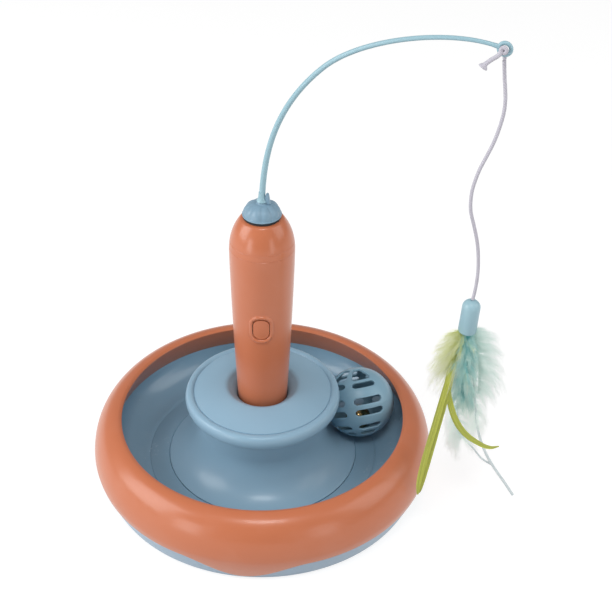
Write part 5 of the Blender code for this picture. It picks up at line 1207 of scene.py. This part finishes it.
class SpinnerCapOperator(bpy.types.Operator):
    """Model the petalled cap with its lug"""
    bl_idname = "cat_toy.spinner_cap"
    bl_label = "Spinner Cap"

    def execute(self, context):
        size = context.scene.toy_spinner
        low = size.low
        top = low + size.height
        rim = 0.0011
        hollow = low + 0.003
        collar = 0.0038
        bore = 0.0023
        pinch = 0.045    # how far a crease between two petals draws in
        rise = top - low - rim
        outer = [(bore, top + 0.0012), (collar * 0.72, top + 0.0012), (collar * 0.8, top + 0.0010),
                 (collar * 0.86, top + 0.0004), (collar, top)]
        for index in range(1, 33):
            share = cos(index / 32 * pi / 2)
            outer.append((collar + (size.radius - rim / 2 - collar) * sqrt(1 - share * share),
                          low + rim + share * rise))
        outer += [(size.radius - 0.0002, low + rim * 0.85), (size.radius, low + rim * 0.6),
                  (size.radius, low + 0.0003), (size.radius - 0.0003, low)]
        inner = [(size.radius - 0.0014, low), (size.radius - 0.0026, hollow), (collar + 0.0014, hollow),
                 (collar + 0.0007, low), (bore, low)]
        cap = lathe("petal_cap", outer + inner, size.petals * 24, True, 40)
        rim_top = low + rim * 0.8
        for vertex in cap.data.vertices:
            x, y, height = vertex.co
            radius = hypot(x, y)
            if height < rim_top or height > top - 0.0002 or radius < collar * 1.05:
                continue
            if radius < size.radius - 0.0022 and height < low + 0.0031:
                continue
            wave = cos(size.petals * (atan2(y, x) - PETAL_BEARING) / 2)
            crease = (1 - sqrt(0.02 + 0.98 * wave ** 2)) ** 1.2
            share = min(1.0, (radius - collar) / 0.004) * min(1.0, (height - low - rim * 0.8) / 0.0012)
            scale = 1 - pinch * crease * share
            vertex.co = (x * scale, y * scale, height - 0.0004 * crease * share)
        outline = ((-0.0012, 0.0), (0.0024, 0.0), (0.0019, 0.0022), (0.0014, 0.0050), (0.0011, 0.0070),
                   (0.0003, 0.0080), (-0.0007, 0.0074), (-0.0011, 0.0050))
        lug = disc_block("lug", outline, -0.0011, 0.0011)
        lug.data.transform(Matrix.Translation((0.0036, 0, top)) @ UPRIGHT)
        bevel(lug, 0.0006, 4, 30)
        smooth(turned(lug, WAND_BEARING), 50)
        cap = join_pieces([cap, lug], "petal_cap")
        shade = plastic("cap_moulding", context.scene.toy_colours.cap_blue, 0.38, marks=0.4, coat=0.05)
        settle(cap, "spinner", "blue_plastic", shade, "spinner_cap")
        return {'FINISHED'}


def bezier(a, b, c, d, count):
    points = []
    for index in range(count + 1):
        t = index / count
        points.append((1 - t) ** 3 * a + 3 * (1 - t) ** 2 * t * b + 3 * (1 - t) * t * t * c + t ** 3 * d)
    return points


WIRE_RADIUS = 0.0012    # the wire of the wand's eye


class WandOperator(bpy.types.Operator):
    """Model the arched wand and its eye"""
    bl_idname = "cat_toy.wand"
    bl_label = "Wand"

    def execute(self, context):
        size = context.scene.toy_spinner
        foot = Vector((0, 0, 0.2163))
        middle = Vector((0.0388, 0, 0.3207))
        slope = Vector((cos(radians(44.6)), 0, sin(radians(44.6))))
        droop = Vector((cos(radians(-12.8)), 0, sin(radians(-12.8))))
        eye = Vector((size.eye_reach, 0, size.eye_height))
        tip = eye - droop * (size.eye_radius - 0.0004)
        points = bezier(foot, foot + Vector((0, 0, 0.039)), middle - slope * 0.0427, middle, 36)
        points += bezier(middle, middle + slope * 0.0313, tip - droop * 0.0284, tip, 40)[1:]
        count = len(points) - 1
        radii = []
        for index in range(count + 1):
            share = index / count
            if share < 0.5:
                radius = size.foot_radius + (size.middle_radius - size.foot_radius) * share * 2
            else:
                radius = size.middle_radius + (size.tip_radius - size.middle_radius) * (share * 2 - 1)
            radii.append(radius + 0.0003 * max(0.0, (share - 0.96) / 0.04) ** 2)
        wand = tube("arched_wand", points, radii, 6)
        clear_selection()
        bpy.ops.mesh.primitive_torus_add(major_segments=64, minor_segments=24, major_radius=size.eye_radius,
                                         minor_radius=WIRE_RADIUS, location=eye, rotation=(pi / 2, 0, 0))
        boolean(wand, apply_place(bpy.context.active_object), 'UNION')
        bevel(wand, 0.0004, 3, 30)
        turned(wand, WAND_BEARING)
        base = size.low + size.height + 0.00125
        flare = [(0, base), (0.0034, base), (0.0035, base + 0.0004), (0.0031, base + 0.0010),
                 (0.0027, base + 0.0018), (0.0024, base + 0.0030), (0.0022, base + 0.0048),
                 (size.foot_radius, base + 0.0065), (0, base + 0.0070)]
        wand = smooth(join_pieces([wand, lathe("wand_foot", flare, 64, False, 60)], "arched_wand"), 40)
        shade = plastic("wand_moulding", context.scene.toy_colours.wand_blue, 0.34, 0.02, bump=0.02,
                        coat=0.10)
        settle(wand, "spinner", "pale_blue_plastic", shade, "wand_rod")
        return {'FINISHED'}


# String, knot and ferrule

def string_material(name, colour):
    """Braided string: a fine crossing weave with fuzz."""
    material, tree, shader = new_material(name)
    place = place_on(tree)
    strands = add_node(tree, 'ShaderNodeTexWave', {"Vector": place, "Scale": 420.0, "Distortion": 1.2},
                       wave_type='BANDS', bands_direction='DIAGONAL').outputs["Fac"]
    weave = maths(tree, 'ADD', product(tree, strands, 0.6),
                  product(tree, noise_on(tree, place, 2600.0, 4.0), 0.5))
    dark = tuple(level * 0.72 for level in colour[:3]) + (1.0,)
    tone = mix_colour(tree, weave, dark, colour)
    feed(shader, {"Base Color": tone, "Roughness": 0.75, "Sheen Weight": 0.2})
    bump_on(tree, shader, weave, 0.45, 0.00015)
    return material


class StringOperator(bpy.types.Operator):
    """Lay the string from the eye to the ferrule"""
    bl_idname = "cat_toy.string"
    bl_label = "String"

    def execute(self, context):
        size = context.scene.toy_lure
        points = smooth_route(STRING_ROUTE, 2)
        line = line_curve("lure_cord", points, [size.string_radius] * len(points), size.string_radius, 6)
        shade = string_material("braided_string", context.scene.toy_colours.string)
        settle(line, "lure", "string", shade, "lure_string")
        return {'FINISHED'}


class KnotOperator(bpy.types.Operator):
    """Tie the knot in the eye and leave its cut tail"""
    bl_idname = "cat_toy.knot"
    bl_label = "Knot"

    def execute(self, context):
        thin = context.scene.toy_lure.string_radius
        spinner = context.scene.toy_spinner
        side = Vector((cos(WAND_BEARING), sin(WAND_BEARING), 0))
        through = Vector((-sin(WAND_BEARING), cos(WAND_BEARING), 0))
        up = Vector((0, 0, 1))
        eye = Vector((spinner.eye_reach * cos(WAND_BEARING), spinner.eye_reach * sin(WAND_BEARING),
                      spinner.eye_height))
        front = eye - through * 0.0030 + up * 0.0004
        back = eye + through * 0.0026
        low = Vector(STRING_ROUTE[0]) + Vector((0, 0, 0.0009))
        swing = 0.0016    # radius of the loop in front of the eye
        climb = 0.0006    # how far the loop comes forward
        loop = []
        for index in range(15):
            angle = radians(150 - index * 27)
            loop.append(front + side * (swing * cos(angle)) + up * (swing * sin(angle))
                        - through * (climb * index / 14))
        route = [*[Vector(point) for point in reversed(TAIL_ROUTE)], *loop, eye - through * 0.0010,
                 eye + through * 0.0010, back + Vector((0, 0, -0.0012)), back.lerp(low, 0.6), low]
        points = smooth_route(route, 4)
        cut_end = [0.0028, 0.0026, 0.0021, 0.0016, 0.0014]
        radii = cut_end + [thin * 1.2] * 11 + [thin] * (len(points) - 16)
        knot = tube("tied_knot", points, radii, 5)
        shade = string_material("knot_string", context.scene.toy_colours.string)
        settle(knot, "knot", "string", shade, "string_knot")
        return {'FINISHED'}


class FerruleOperator(bpy.types.Operator):
    """Model the cap that holds the feathers"""
    bl_idname = "cat_toy.ferrule"
    bl_label = "Ferrule"

    def execute(self, context):
        radius = context.scene.toy_lure.ferrule_radius
        mouth = -context.scene.toy_lure.ferrule_length
        outer = [(0, -0.0004), (0.0009, -0.0003), (0.0013, -0.0001)]
        for index in range(1, 25):
            angle = index / 24 * pi / 2
            if radius * sin(angle) > 0.0016:
                outer.append((radius * sin(angle) * 0.99, -radius * 0.9 * (1 - cos(angle))))
        outer += [(radius, mouth + 0.0005), (radius - 0.0002, mouth + 0.0001), (radius - 0.0004, mouth),
                  (radius - 0.0008, mouth), (radius - 0.0009, mouth + 0.0003),
                  (radius - 0.0009, mouth + 0.0030), (0, mouth + 0.0030)]
        cap = lathe("feather_ferrule", outer, 96, False, 40)
        cap.data.transform(Matrix.Translation(FERRULE_TOP) @ Matrix.Rotation(FERRULE_LEAN, 4, 'Y'))
        shade = plastic("ferrule_moulding", context.scene.toy_colours.wand_blue, 0.34, marks=0.4, coat=0.10,
                        centre=FERRULE_TOP)
        settle(cap, "lure", "pale_blue_plastic", shade, "ferrule")
        return {'FINISHED'}


# Feathers, as rows in millimetres from the middle of the ferrule's mouth

# Rows of a long feather: down, across and forward, and its width
LEFT_BLADE = ((0, -1.2, 1.0, 1.0), (8.0, -2.4, 0.5, 2.0), (17.1, -4.3, 0.4, 3.0), (25.7, -7.1, 3.6, 3.6),
              (35.0, -8.8, 8.8, 3.9), (45.0, -10.3, 10.4, 4.1), (67.3, -12.8, 12, 4.3),
              (95.3, -16.0, 13.5, 4.3), (114.1, -17.6, 14.5, 3.7), (124.0, -17.5, 14.9, 2.6),
              (128.6, -17.2, 15, 0.9))
RIGHT_BLADE = ((0, 0.2, 1.0, 1.0), (10.0, -1.0, 0.5, 2.0), (20.5, -2.6, 0.4, 2.6), (29.5, -5.2, 3.4, 3.2),
               (44.5, -7.6, 8.4, 3.7), (68.4, -10.4, 10.3, 4.1), (96.6, -13.2, 12, 4.0),
               (115.4, -15.0, 13, 3.4), (124.5, -15.7, 13.4, 2.3), (128.4, -16.1, 13.5, 0.9))
CURVED_BLADE = ((0, 1.7, 1.0, 1.0), (20.0, -3.0, 0.5, 1.8), (39.8, -5.9, 1.0, 2.6), (50.3, -5.2, 5.0, 3.6),
                (65.8, 0.5, 8, 4.2), (78.4, 9.2, 8.5, 4.2), (86.7, 20.1, 8.5, 3.6), (89.7, 27.5, 8.5, 2.8),
                (88.6, 33.5, 8.5, 0.9))
QUILL_LINE = ((0, 1.6, -2.1), (10.9, 4.8, -5), (40.3, 11.2, -8), (62.8, 15.7, -8), (88.1, 21.4, -7),
              (106.6, 29.0, -6), (119.3, 36.7, -5), (130.6, 45.4, -2.5), (140.6, 52.9, 0))
SIDE_LINE = ((0, -1.6, -2.1), (16.6, 1.6, -7), (49.9, 2.8, -9), (79.5, 6.5, -10), (96.3, 12.8, -9),
             (106.6, 21.3, -9), (115.1, 28.3, -8.5), (120.9, 36.6, -8.5))

# Rows of a clump of down: down, across and forward of its shaft, and the reach of its barbs
TEAL_ROWS = ((0, 0.0, 1.0, 3.0), (5, 0.6, 2.5, 7.0), (14, 1.2, 3.5, 9.5), (28, 1.8, 4.0, 10.0),
             (42, 3.0, 3.2, 9.0), (56, 5.0, 2.0, 7.0))
GREEN_ROWS = ((0, -2.2, 0.8, 9.0), (4, -2.6, 1.2, 15.0), (11, -3.0, 1.8, 18.0), (20, -3.4, 1.8, 17.0),
              (30, -3.8, 1.6, 12.0))
PALE_ROWS = ((0, 2.5, -1, 9.0), (4, 4.2, -1, 15.0), (12, 7.0, -1.5, 18.0), (24, 10.5, -2, 18.0),
             (38, 13.4, -2, 15.0), (52, 15.2, -2, 10.0))
QUILL_ROWS = ((20, 7.0, -6.2, 6.0), (36, 10.3, -7.8, 8.5), (54, 13.8, -8, 9.0), (70, 17.2, -7.8, 8.0),
              (86, 20.6, -7.2, 4.0))
SIDE_ROWS = ((26, 1.8, -7.6, 6.0), (44, 2.9, -8.6, 10.0), (60, 4.4, -9.4, 12.0), (76, 6.6, -9.9, 12.0),
             (90, 9.6, -9.6, 9.0), (97, 11.6, -9.2, 6.5))


def from_mouth(down, across, forward):
    """A place given in millimetres from the middle of the ferrule's mouth."""
    axis = Vector((-sin(FERRULE_LEAN), 0, -cos(FERRULE_LEAN)))
    side = Vector((cos(FERRULE_LEAN), 0, -sin(FERRULE_LEAN)))
    length = bpy.context.scene.toy_lure.ferrule_length
    return (FERRULE_TOP + axis * (length + down / 1000) + side * (across / 1000)
            + Vector((0, -forward / 1000, 0)))


def route_of(rows, per_span):
    """The smooth line through the rows of a feather."""
    return smooth_route([from_mouth(*row[:3]) for row in rows], per_span)


def reach_of(rows, per_span):
    """The last value of each row, in metres, smoothed as the line is."""
    return smooth_route([(row[3] / 1000, 0, 0) for row in rows], per_span)


BLADE_STEPS = 64
BLADE_COLUMNS = 10


def blade(name, rows, cup):
    """A long feather: a strip along its quill, cupped across, with a frayed edge, and the quill."""
    line = route_of(rows, 12)
    widths = reach_of(rows, 12)
    clear_selection()
    bpy.ops.mesh.primitive_grid_add(x_subdivisions=BLADE_COLUMNS, y_subdivisions=BLADE_STEPS, size=1,
                                    location=(0, 0, 0), calc_uvs=True)
    strip = named(bpy.context.active_object, name)
    face = Vector((0, -1, 0))
    for vertex in strip.data.vertices:
        across = vertex.co.x * 2
        along = (vertex.co.y + 0.5) * (len(line) - 1)
        index = min(len(line) - 2, int(along))
        share = along - index
        place = line[index].lerp(line[index + 1], share)
        width = widths[index].lerp(widths[index + 1], share).x
        ahead = (line[min(len(line) - 1, index + 2)] - line[max(0, index - 1)]).normalized()
        side = ahead.cross(face).normalized()
        out = side.cross(ahead).normalized()
        fray = noise.noise(Vector((along * 0.9, across * 3, 7))) * 0.08 * abs(across) ** 3
        vertex.co = (place + side * (width / 2 * across * (1 + fray))
                     + out * (cup * width * across * across - abs(across) * 0.0001))
    apply_modifier(strip, 'SOLIDIFY', thickness=0.00022, offset=0.0)
    quill = tube(name + "_quill", line, tapered(0.00042, 0.75, len(line)), 3)
    return smooth(join_pieces([strip, quill], name), 50)


BARB_RINGS = 6
BARB_SPACING = 4.0
BARB_TIP = 0.35    # a barb's width at its tip, as a share of its root's


def barb_field(name, paths, radii, tones):
    """Many thin barbs: one three-sided barb, repeated by an array, then each bent along its own path."""
    clear_selection()
    bpy.ops.mesh.primitive_circle_add(vertices=3, radius=1, fill_type='NGON', location=(0, 0, 0))
    field = named(bpy.context.active_object, name)
    edit_mode()
    for _ in range(BARB_RINGS):
        bpy.ops.mesh.extrude_region_move(TRANSFORM_OT_translate={"value": (0, 0, -1)})
    bpy.ops.mesh.select_all(action='SELECT')
    bpy.ops.mesh.normals_make_consistent(inside=False)
    object_mode()
    apply_modifier(field, 'ARRAY', count=len(paths), use_relative_offset=False, use_constant_offset=True,
                   constant_offset_displace=(BARB_SPACING, 0, 0))
    mesh = field.data
    places = numpy.empty(len(mesh.vertices) * 3)
    mesh.vertices.foreach_get("co", places)
    places = places.reshape(-1, 3)
    copy = numpy.rint(places[:, 0] / BARB_SPACING).astype(int)
    ring = numpy.rint(-places[:, 2]).astype(int)
    around = numpy.arctan2(places[:, 1], places[:, 0] - copy * BARB_SPACING)
    ahead = numpy.gradient(paths, axis=1)
    ahead /= numpy.linalg.norm(ahead, axis=2, keepdims=True) + 1e-12
    side = numpy.cross(ahead, numpy.array((0.3, 0.9, 0.31)))
    side /= numpy.linalg.norm(side, axis=2, keepdims=True) + 1e-12
    out = numpy.cross(ahead, side)
    width = radii[:, None] * numpy.linspace(1.0, BARB_TIP, BARB_RINGS + 1)[None, :]
    reach = width[copy, ring][:, None]
    moved = (paths[copy, ring] + side[copy, ring] * numpy.cos(around)[:, None] * reach
             + out[copy, ring] * numpy.sin(around)[:, None] * reach)
    mesh.vertices.foreach_set("co", moved.ravel())
    corners = numpy.empty(len(mesh.loops), dtype=int)
    mesh.loops.foreach_get("vertex_index", corners)
    layer = mesh.uv_layers[0] if mesh.uv_layers else mesh.uv_layers.new(name="barbs")
    marks = numpy.stack((tones[copy[corners]], ring[corners] / BARB_RINGS), axis=1)
    layer.uv.foreach_set("vector", marks.ravel())
    mesh.update()
    pick(field)
    bpy.ops.object.shade_smooth()
    return field


def plume_paths(rows, locks, fibres, seed, spread=0.9, droop=1.1, flat=0.6, loose=0.45, front=0.0,
                leftward=0.5):
    """Curved paths for the barbs of a plume.

    The barbs leave the shaft outwards, steeper towards its end, and bend down.  Each lock is a
    bundle whose tips draw together, and a share of the barbs hangs loose between the locks.
    """
    chance = numpy.random.default_rng(seed)
    line = route_of(rows, 10)
    reaches = reach_of(rows, 10)
    count = len(line) - 1
    paths = []
    for lock in range(locks):
        position = ((lock + chance.random()) / locks) ** 0.9
        along = count * min(0.999, position)
        index = int(along)
        root = line[index].lerp(line[index + 1], along - index)
        ahead = (line[min(count, index + 2)] - line[max(0, index - 2)]).normalized()
        side = ahead.cross(Vector((0, -1, 0))).normalized()
        if side.x > 0:
            side = -side
        out = Vector((0, -1, 0))
        way = 1 if chance.random() < leftward else -1
        reach = reaches[index].x * (0.55 + 0.55 * chance.random())
        turn = chance.normal(0, flat)
        ahead_of = 1 if chance.random() < 0.5 + front else -1
        heading = side * (way * cos(turn)) + out * (abs(sin(turn)) * ahead_of * 0.7)
        fall = reach * droop * (0.30 + 0.85 * position) * (0.7 + 0.7 * chance.random())
        bend = root + heading * reach * 0.70 + ahead * fall * 0.10
        tip = root + heading * reach + ahead * fall
        for fibre in range(fibres):
            astray = 3.0 if fibre >= fibres * (1 - loose) else 1.0
            start = root + ahead * (0.0016 * (chance.random() - 0.5))
            middle = bend + Vector(chance.normal(0, 0.0007 * astray, 3))
            end = tip + Vector(chance.normal(0, 0.0007 * astray * spread, 3))
            end = middle.lerp(end, 0.75 + 0.3 * chance.random())
            paths.append((start, middle, end))
    controls = numpy.array([[tuple(point) for point in path] for path in paths])
    share = numpy.linspace(0, 1, BARB_RINGS + 1)[None, :, None]
    bent = (controls[:, 0:1] * (1 - share) ** 2 + controls[:, 1:2] * 2 * share * (1 - share)
            + controls[:, 2:3] * share ** 2)
    wave = numpy.sin(share * 9 + chance.random((len(paths), 1, 1)) * 6.28) * 0.00035 * share
    return bent + wave * chance.normal(0, 0.6, (len(paths), 1, 3))


def plume(name, rows, locks, fibres, seed, shaft=0.0004, fine=1.0, **shape):
    """A plume of down: its thin shaft and the barbs round it."""
    paths = plume_paths(rows, locks, fibres, seed, **shape)
    chance = numpy.random.default_rng(seed + 100)
    radii = fine * bpy.context.scene.toy_lure.fibre_radius * (0.6 + 0.8 * chance.random(len(paths)))
    tones = numpy.linspace(0, 0.5, len(paths)) + numpy.repeat(chance.random(locks), fibres) * 0.3
    tones += chance.random(len(paths)) * 0.2
    field = barb_field(name, paths, radii, tones)
    line = route_of(rows, 6)
    stem = tube(name + "_shaft", line, tapered(shaft, 0.7, len(line)), 3)
    return join_pieces([field, stem], name)


def map_parts(tree):
    """A piece's object coordinates and UV map, and the map's two parts."""
    place = add_node(tree, 'ShaderNodeTexCoord').outputs
    apart = add_node(tree, 'ShaderNodeSeparateXYZ', {0: place["UV"]}).outputs
    return place["Object"], place["UV"], apart["X"], apart["Y"]


def down_material(name, root, tip, glow=0.09):
    """Down: each barb goes from the root's colour to the tip's, no two quite alike, and glows faintly in that
    colour as painted light.
    """
    material, tree, shader = new_material(name)
    place, _, tone, along = map_parts(tree)
    blend = maths(tree, 'ADD', product(tree, along, 0.75), product(tree, centred(tree, tone), 0.7))
    patches = product(tree, centred(tree, noise_on(tree, place, 130.0)), 0.8)
    colour = mix_colour(tree, maths(tree, 'ADD', blend, patches, True), root, tip)
    shadow = product(tree, ray_is(tree, "Is Shadow Ray"), 0.66)
    # Painted light: the emission gives the barbs a faint glow in their own colour, standing in for light that
    # shines through them.
    feed(shader, {"Base Color": colour, "Roughness": 0.75, "Specular IOR Level": 0.15,
                  "Emission Color": colour, "Emission Strength": glow,
                  "Alpha": maths(tree, 'SUBTRACT', 1.0, shadow)})
    return material


def vane_material(name, colour, edge):
    """A feather's vane: fine slanting barbs and streaks of two tones, from its own UV map."""
    material, tree, shader = new_material(name)
    place, flat, across, along = map_parts(tree)
    out = maths(tree, 'ABSOLUTE', centred(tree, across))
    slant = maths(tree, 'SUBTRACT', product(tree, along, 150.0), product(tree, out, 14.0))
    barbs = maths(tree, 'SINE', product(tree, slant, 6.283))
    height = maths(tree, 'ADD', product(tree, barbs, 0.3), noise_on(tree, place, 300.0, 4.0))
    stretch = add_node(tree, 'ShaderNodeMapping', {"Vector": flat, "Scale": (11.0, 3.0, 1.0)})
    streaks = between(tree, noise_on(tree, stretch.outputs["Vector"], 1.0, 3.0), 0.38, 0.62)
    tone = mix_colour(tree, streaks, edge, colour)
    deep = tuple(level * 0.6 for level in colour[:3]) + (1.0,)
    lined = mix_colour(tree, product(tree, maths(tree, 'ADD', barbs, 1.0), 0.18), tone, deep)
    feed(shader, {"Base Color": lined, "Roughness": 0.55, "Sheen Weight": 0.15})
    bump_on(tree, shader, height, 0.35, 0.00012)
    return material


class GreenFeathersOperator(bpy.types.Operator):
    """Model the two parallel green feathers and the curved one"""
    bl_idname = "cat_toy.green_feathers"
    bl_label = "Green Feathers"

    def execute(self, context):
        colour = context.scene.toy_colours.green
        edge = tuple(min(1.0, level * 1.55) for level in colour[:3]) + (1.0,)
        shade = vane_material("green_vane", colour, edge)
        for name, rows, cup, node in (
                ("green_blade_left", LEFT_BLADE, 0.10, "green_feather_left"),
                ("green_blade_right", RIGHT_BLADE, 0.12, "green_feather_right"),
                ("green_blade_curved", CURVED_BLADE, 0.12, "curved_feather")):
            settle(blade(name, rows, cup), "lure", "green_vane", shade, node)
        return {'FINISHED'}


class DownOperator(bpy.types.Operator):
    """Model the clumps of teal, green and pale down"""
    bl_idname = "cat_toy.down"
    bl_label = "Down"

    def execute(self, context):
        colours = context.scene.toy_colours
        teal = plume("teal_plume", TEAL_ROWS, 190, 26, 11, droop=1.6, flat=0.9, front=0.30, fine=1.15)
        shade = down_material("teal_plume", colours.teal, colours.teal_tip, 0.11)
        settle(teal, "lure", "teal_down", shade, "teal_down")
        green = plume("green_plume", GREEN_ROWS, 130, 20, 12, leftward=0.95, front=0.1, fine=0.8)
        shade = down_material("green_plume", colours.down_green, colours.down_green_tip)
        settle(green, "lure", "green_down", shade, "green_down")
        pale = plume("pale_plume", PALE_ROWS, 160, 17, 13, leftward=0.10, front=-0.1, fine=0.7, loose=0.65)
        shade = down_material("pale_plume", colours.pale_root, colours.pale, 0.15)
        settle(pale, "lure", "pale_vane", shade, "pale_down")
        return {'FINISHED'}


class QuillsOperator(bpy.types.Operator):
    """Model the two pale feathers whose bare quills show at the bottom"""
    bl_idname = "cat_toy.quills"
    bl_label = "Quill Feathers"

    def execute(self, context):
        colours = context.scene.toy_colours
        paler = tuple((low + high) / 2 for low, high in zip(colours.pale_root, colours.pale))
        for name, rows, line, locks, seed, thick, node in (
                ("quill_plume", QUILL_ROWS, QUILL_LINE, 120, 14, 0.0010, "quill_feather"),
                ("side_plume", SIDE_ROWS, SIDE_LINE, 150, 15, 0.0007, "side_quill")):
            barbs = plume(name, rows, locks, 20, seed, 0.0003, fine=0.8, droop=1.9, flat=0.5, loose=0.6,
                          leftward=0.6)
            route = route_of(line, 8)
            last = len(route) - 1
            radii = [thick * (0.45 + 0.55 * min(1.0, index / last * 1.8)) for index in range(last + 1)]
            shaft = tube(name + "_quill", route, radii, 4)
            settle(barbs, "lure", "pale_vane", down_material(name, paler, colours.pale, 0.18), node)
            settle(shaft, "lure", "pale_vane", plastic(name + "_quill", colours.quill, 0.45, 0.04))
        return {'FINISHED'}


# Pieces that show from below or when the handle is out

class BatteryCapOperator(bpy.types.Operator):
    """Model the battery door with its coin slot and grips"""
    bl_idname = "cat_toy.battery_cap"
    bl_label = "Battery Door"

    def execute(self, context):
        size = context.scene.toy_handle
        edge = size.plug_radius
        neck = edge - size.wall - GAP
        low = context.scene.toy_pedestal.socket_floor + GAP
        top = low + DOOR_HEIGHT
        profile = softened([(0, top + 0.0027), (neck, top + 0.0027), (neck, top), (edge, top),
                            (edge, low + 0.0009), (edge - 0.0009, low), (0.0105, low), (0.0103, low + 0.0005),
                            (0.0097, low + 0.0005), (0.0095, low), (0, low)], 0.0004, 4, False)
        door = lathe("door_moulding", profile, 128, False)
        coin_slot = rounded_outline(0.0170, 0.0022, 0.0010)
        punch(door, coin_slot, (0, 0), low - 0.001, low + 0.0014)
        grip = circle_points(0.0005, 16)
        for place in circle_points(edge + 0.0002, 24):
            punch(door, grip, place, low + 0.0014, top - 0.0006)
        bevel(door, 0.00015, 2, 50)
        smooth(door, 35)
        shade = plastic("door_moulding", context.scene.toy_colours.orange, 0.38, 0.02)
        settle(door, "cell_door", "orange_plastic", shade, "battery_cap")
        return {'FINISHED'}


def four_copies(piece, name, places, slot, shade, node):
    """Copies of a piece at four places of the base, each for a node of its own."""
    for number, place in enumerate(places, 1):
        copy = copy_of(piece, name + str(number))
        copy.data.transform(Matrix.Translation((*place, 0)))
        settle(copy, "base", slot, shade, node + str(number))
    bpy.data.objects.remove(piece)


class FeetOperator(bpy.types.Operator):
    """Model the rubber feet and the base's screws"""
    bl_idname = "cat_toy.feet"
    bl_label = "Feet and Screws"

    def execute(self, context):
        profile = [(0, 0.0015), (0.0090, 0.0015), (0.0090, 0.0006), (0.0088, 0.0002), (0.0084, 0.0),
                   (0.0076, 0.0), (0.0070, 0.00005), (0.0034, 0.00005), (0.0030, 0.0002), (0, 0.0002)]
        foot = lathe("rubber_pad", softened(profile, 0.0002, 3, False), 72, False)
        four_copies(foot, "rubber_pad_", circle_points(PAD_CIRCLE, 4), "foot_rubber",
                    rubber(context.scene.toy_colours.rubber), "rubber_foot_")

        low = 0.0004
        profile = [(0, low + 0.0083), (0.0007, low + 0.0083), (0.0015, low + 0.0068), (0.0015, low + 0.0011),
                   (0.0029, low + 0.0011), (0.0029, low + 0.0006), (0.0024, low + 0.0001), (0.0014, low),
                   (0, low)]
        screw = lathe("base_screw", softened(profile, 0.00015, 2, False), 48, False)
        for turn in (0, pi / 2):
            cross = disc_block("cross", rounded_outline(0.0030, 0.0007, 0.0002, 4), low - 0.001, low + 0.0006)
            boolean(screw, turned(cross, turn))
        finish_shape(screw)
        circle = context.scene.toy_track.seam_radius + 0.0008
        four_copies(screw, "fixing_screw_", circle_points(circle, 4, 0.5), "steel",
                    metal("plain_steel", seen(168, 170, 174), 0.32), "base_screw_")
        return {'FINISHED'}


class InnerPartsOperator(bpy.types.Operator):
    """Give the pieces inside the handle and the bell their materials"""
    bl_idname = "cat_toy.inner_parts"
    bl_label = "Inner Parts"

    def execute(self, context):
        for shade, names in (
                (plastic("white_moulding", seen(222, 222, 218), 0.45, 0.04, 3000.0, 0.5, 0.04),
                 ("battery_bulkhead", "gear_plate_lower", "gear_plate_upper")),
                (plastic("gear_moulding", seen(214, 212, 202), 0.38, 0.03, 3000.0, 0.6),
                 ("compound_gear_lower", "compound_gear_upper", "output_gear")),
                (plastic("switch_moulding", seen(46, 48, 52), 0.42, 0.05, 3000.0, 0.5, 0.04),
                 ("push_switch",)),
                (plastic("board_lacquer", seen(42, 98, 66), 0.28, 0.15, 900.0, 0.4, 0.06, coat=0.4),
                 ("circuit_board",)),
                (metal("bright_steel", seen(184, 186, 190), 0.26),
                 ("bell_pea", "motor_can", "gear_pin_1", "gear_pin_2", "gear_screw_1", "gear_screw_2",
                  "spindle", "contact_plate_lower", "contact_plate_left", "contact_plate_right")),
                (metal("spring_steel", seen(172, 174, 178), 0.30),
                 ("contact_spring_lower", "contact_spring_upper")),
                (metal("turned_brass", seen(196, 162, 96), 0.28), ("motor_pinion", "spindle_bush")),
                (cell_material(), ("battery_up", "battery_down"))):
            for name in names:
                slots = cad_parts[name].data.materials
                if len(slots):
                    slots[0] = shade
                else:
                    slots.append(shade)
        return {'FINISHED'}


OPERATORS = (
    CameraOperator, StringOperator, StageOperator, RingOperator, BottomShellOperator, TrayOperator,
    PedestalOperator, BallOperator, BellOperator, HandleOperator, ButtonOperator, SpinnerCapOperator,
    WandOperator, KnotOperator, FerruleOperator, GreenFeathersOperator, DownOperator, QuillsOperator,
    BatteryCapOperator, FeetOperator, InnerPartsOperator,
)


class ToyPanel(bpy.types.Panel):
    """Sizes, colours and pieces of the cat toy"""
    bl_idname = "VIEW3D_PT_cat_toy"
    bl_label = "Cat Toy"
    bl_space_type = 'VIEW_3D'
    bl_region_type = 'UI'
    bl_category = "Cat Toy"

    def draw(self, context):
        layout = self.layout
        for name, group in GROUPS.items():
            box = layout.box()
            box.label(text=group.__name__)
            values = getattr(context.scene, name)
            for key in group.__annotations__:
                box.prop(values, key)
        for operator in OPERATORS:
            layout.operator(operator.bl_idname)


def register():
    for name, group in GROUPS.items():
        bpy.utils.register_class(group)
        setattr(bpy.types.Scene, name, PointerProperty(type=group))
    for operator in OPERATORS:
        bpy.utils.register_class(operator)
    bpy.utils.register_class(ToyPanel)


def unregister():
    bpy.utils.unregister_class(ToyPanel)
    for operator in reversed(OPERATORS):
        bpy.utils.unregister_class(operator)
    for name, group in GROUPS.items():
        delattr(bpy.types.Scene, name)
        bpy.utils.unregister_class(group)


def main():
    register()
    for operator in OPERATORS:
        family, name = operator.bl_idname.split(".")
        getattr(getattr(bpy.ops, family), name)()


if __name__ == "__main__":
    main()
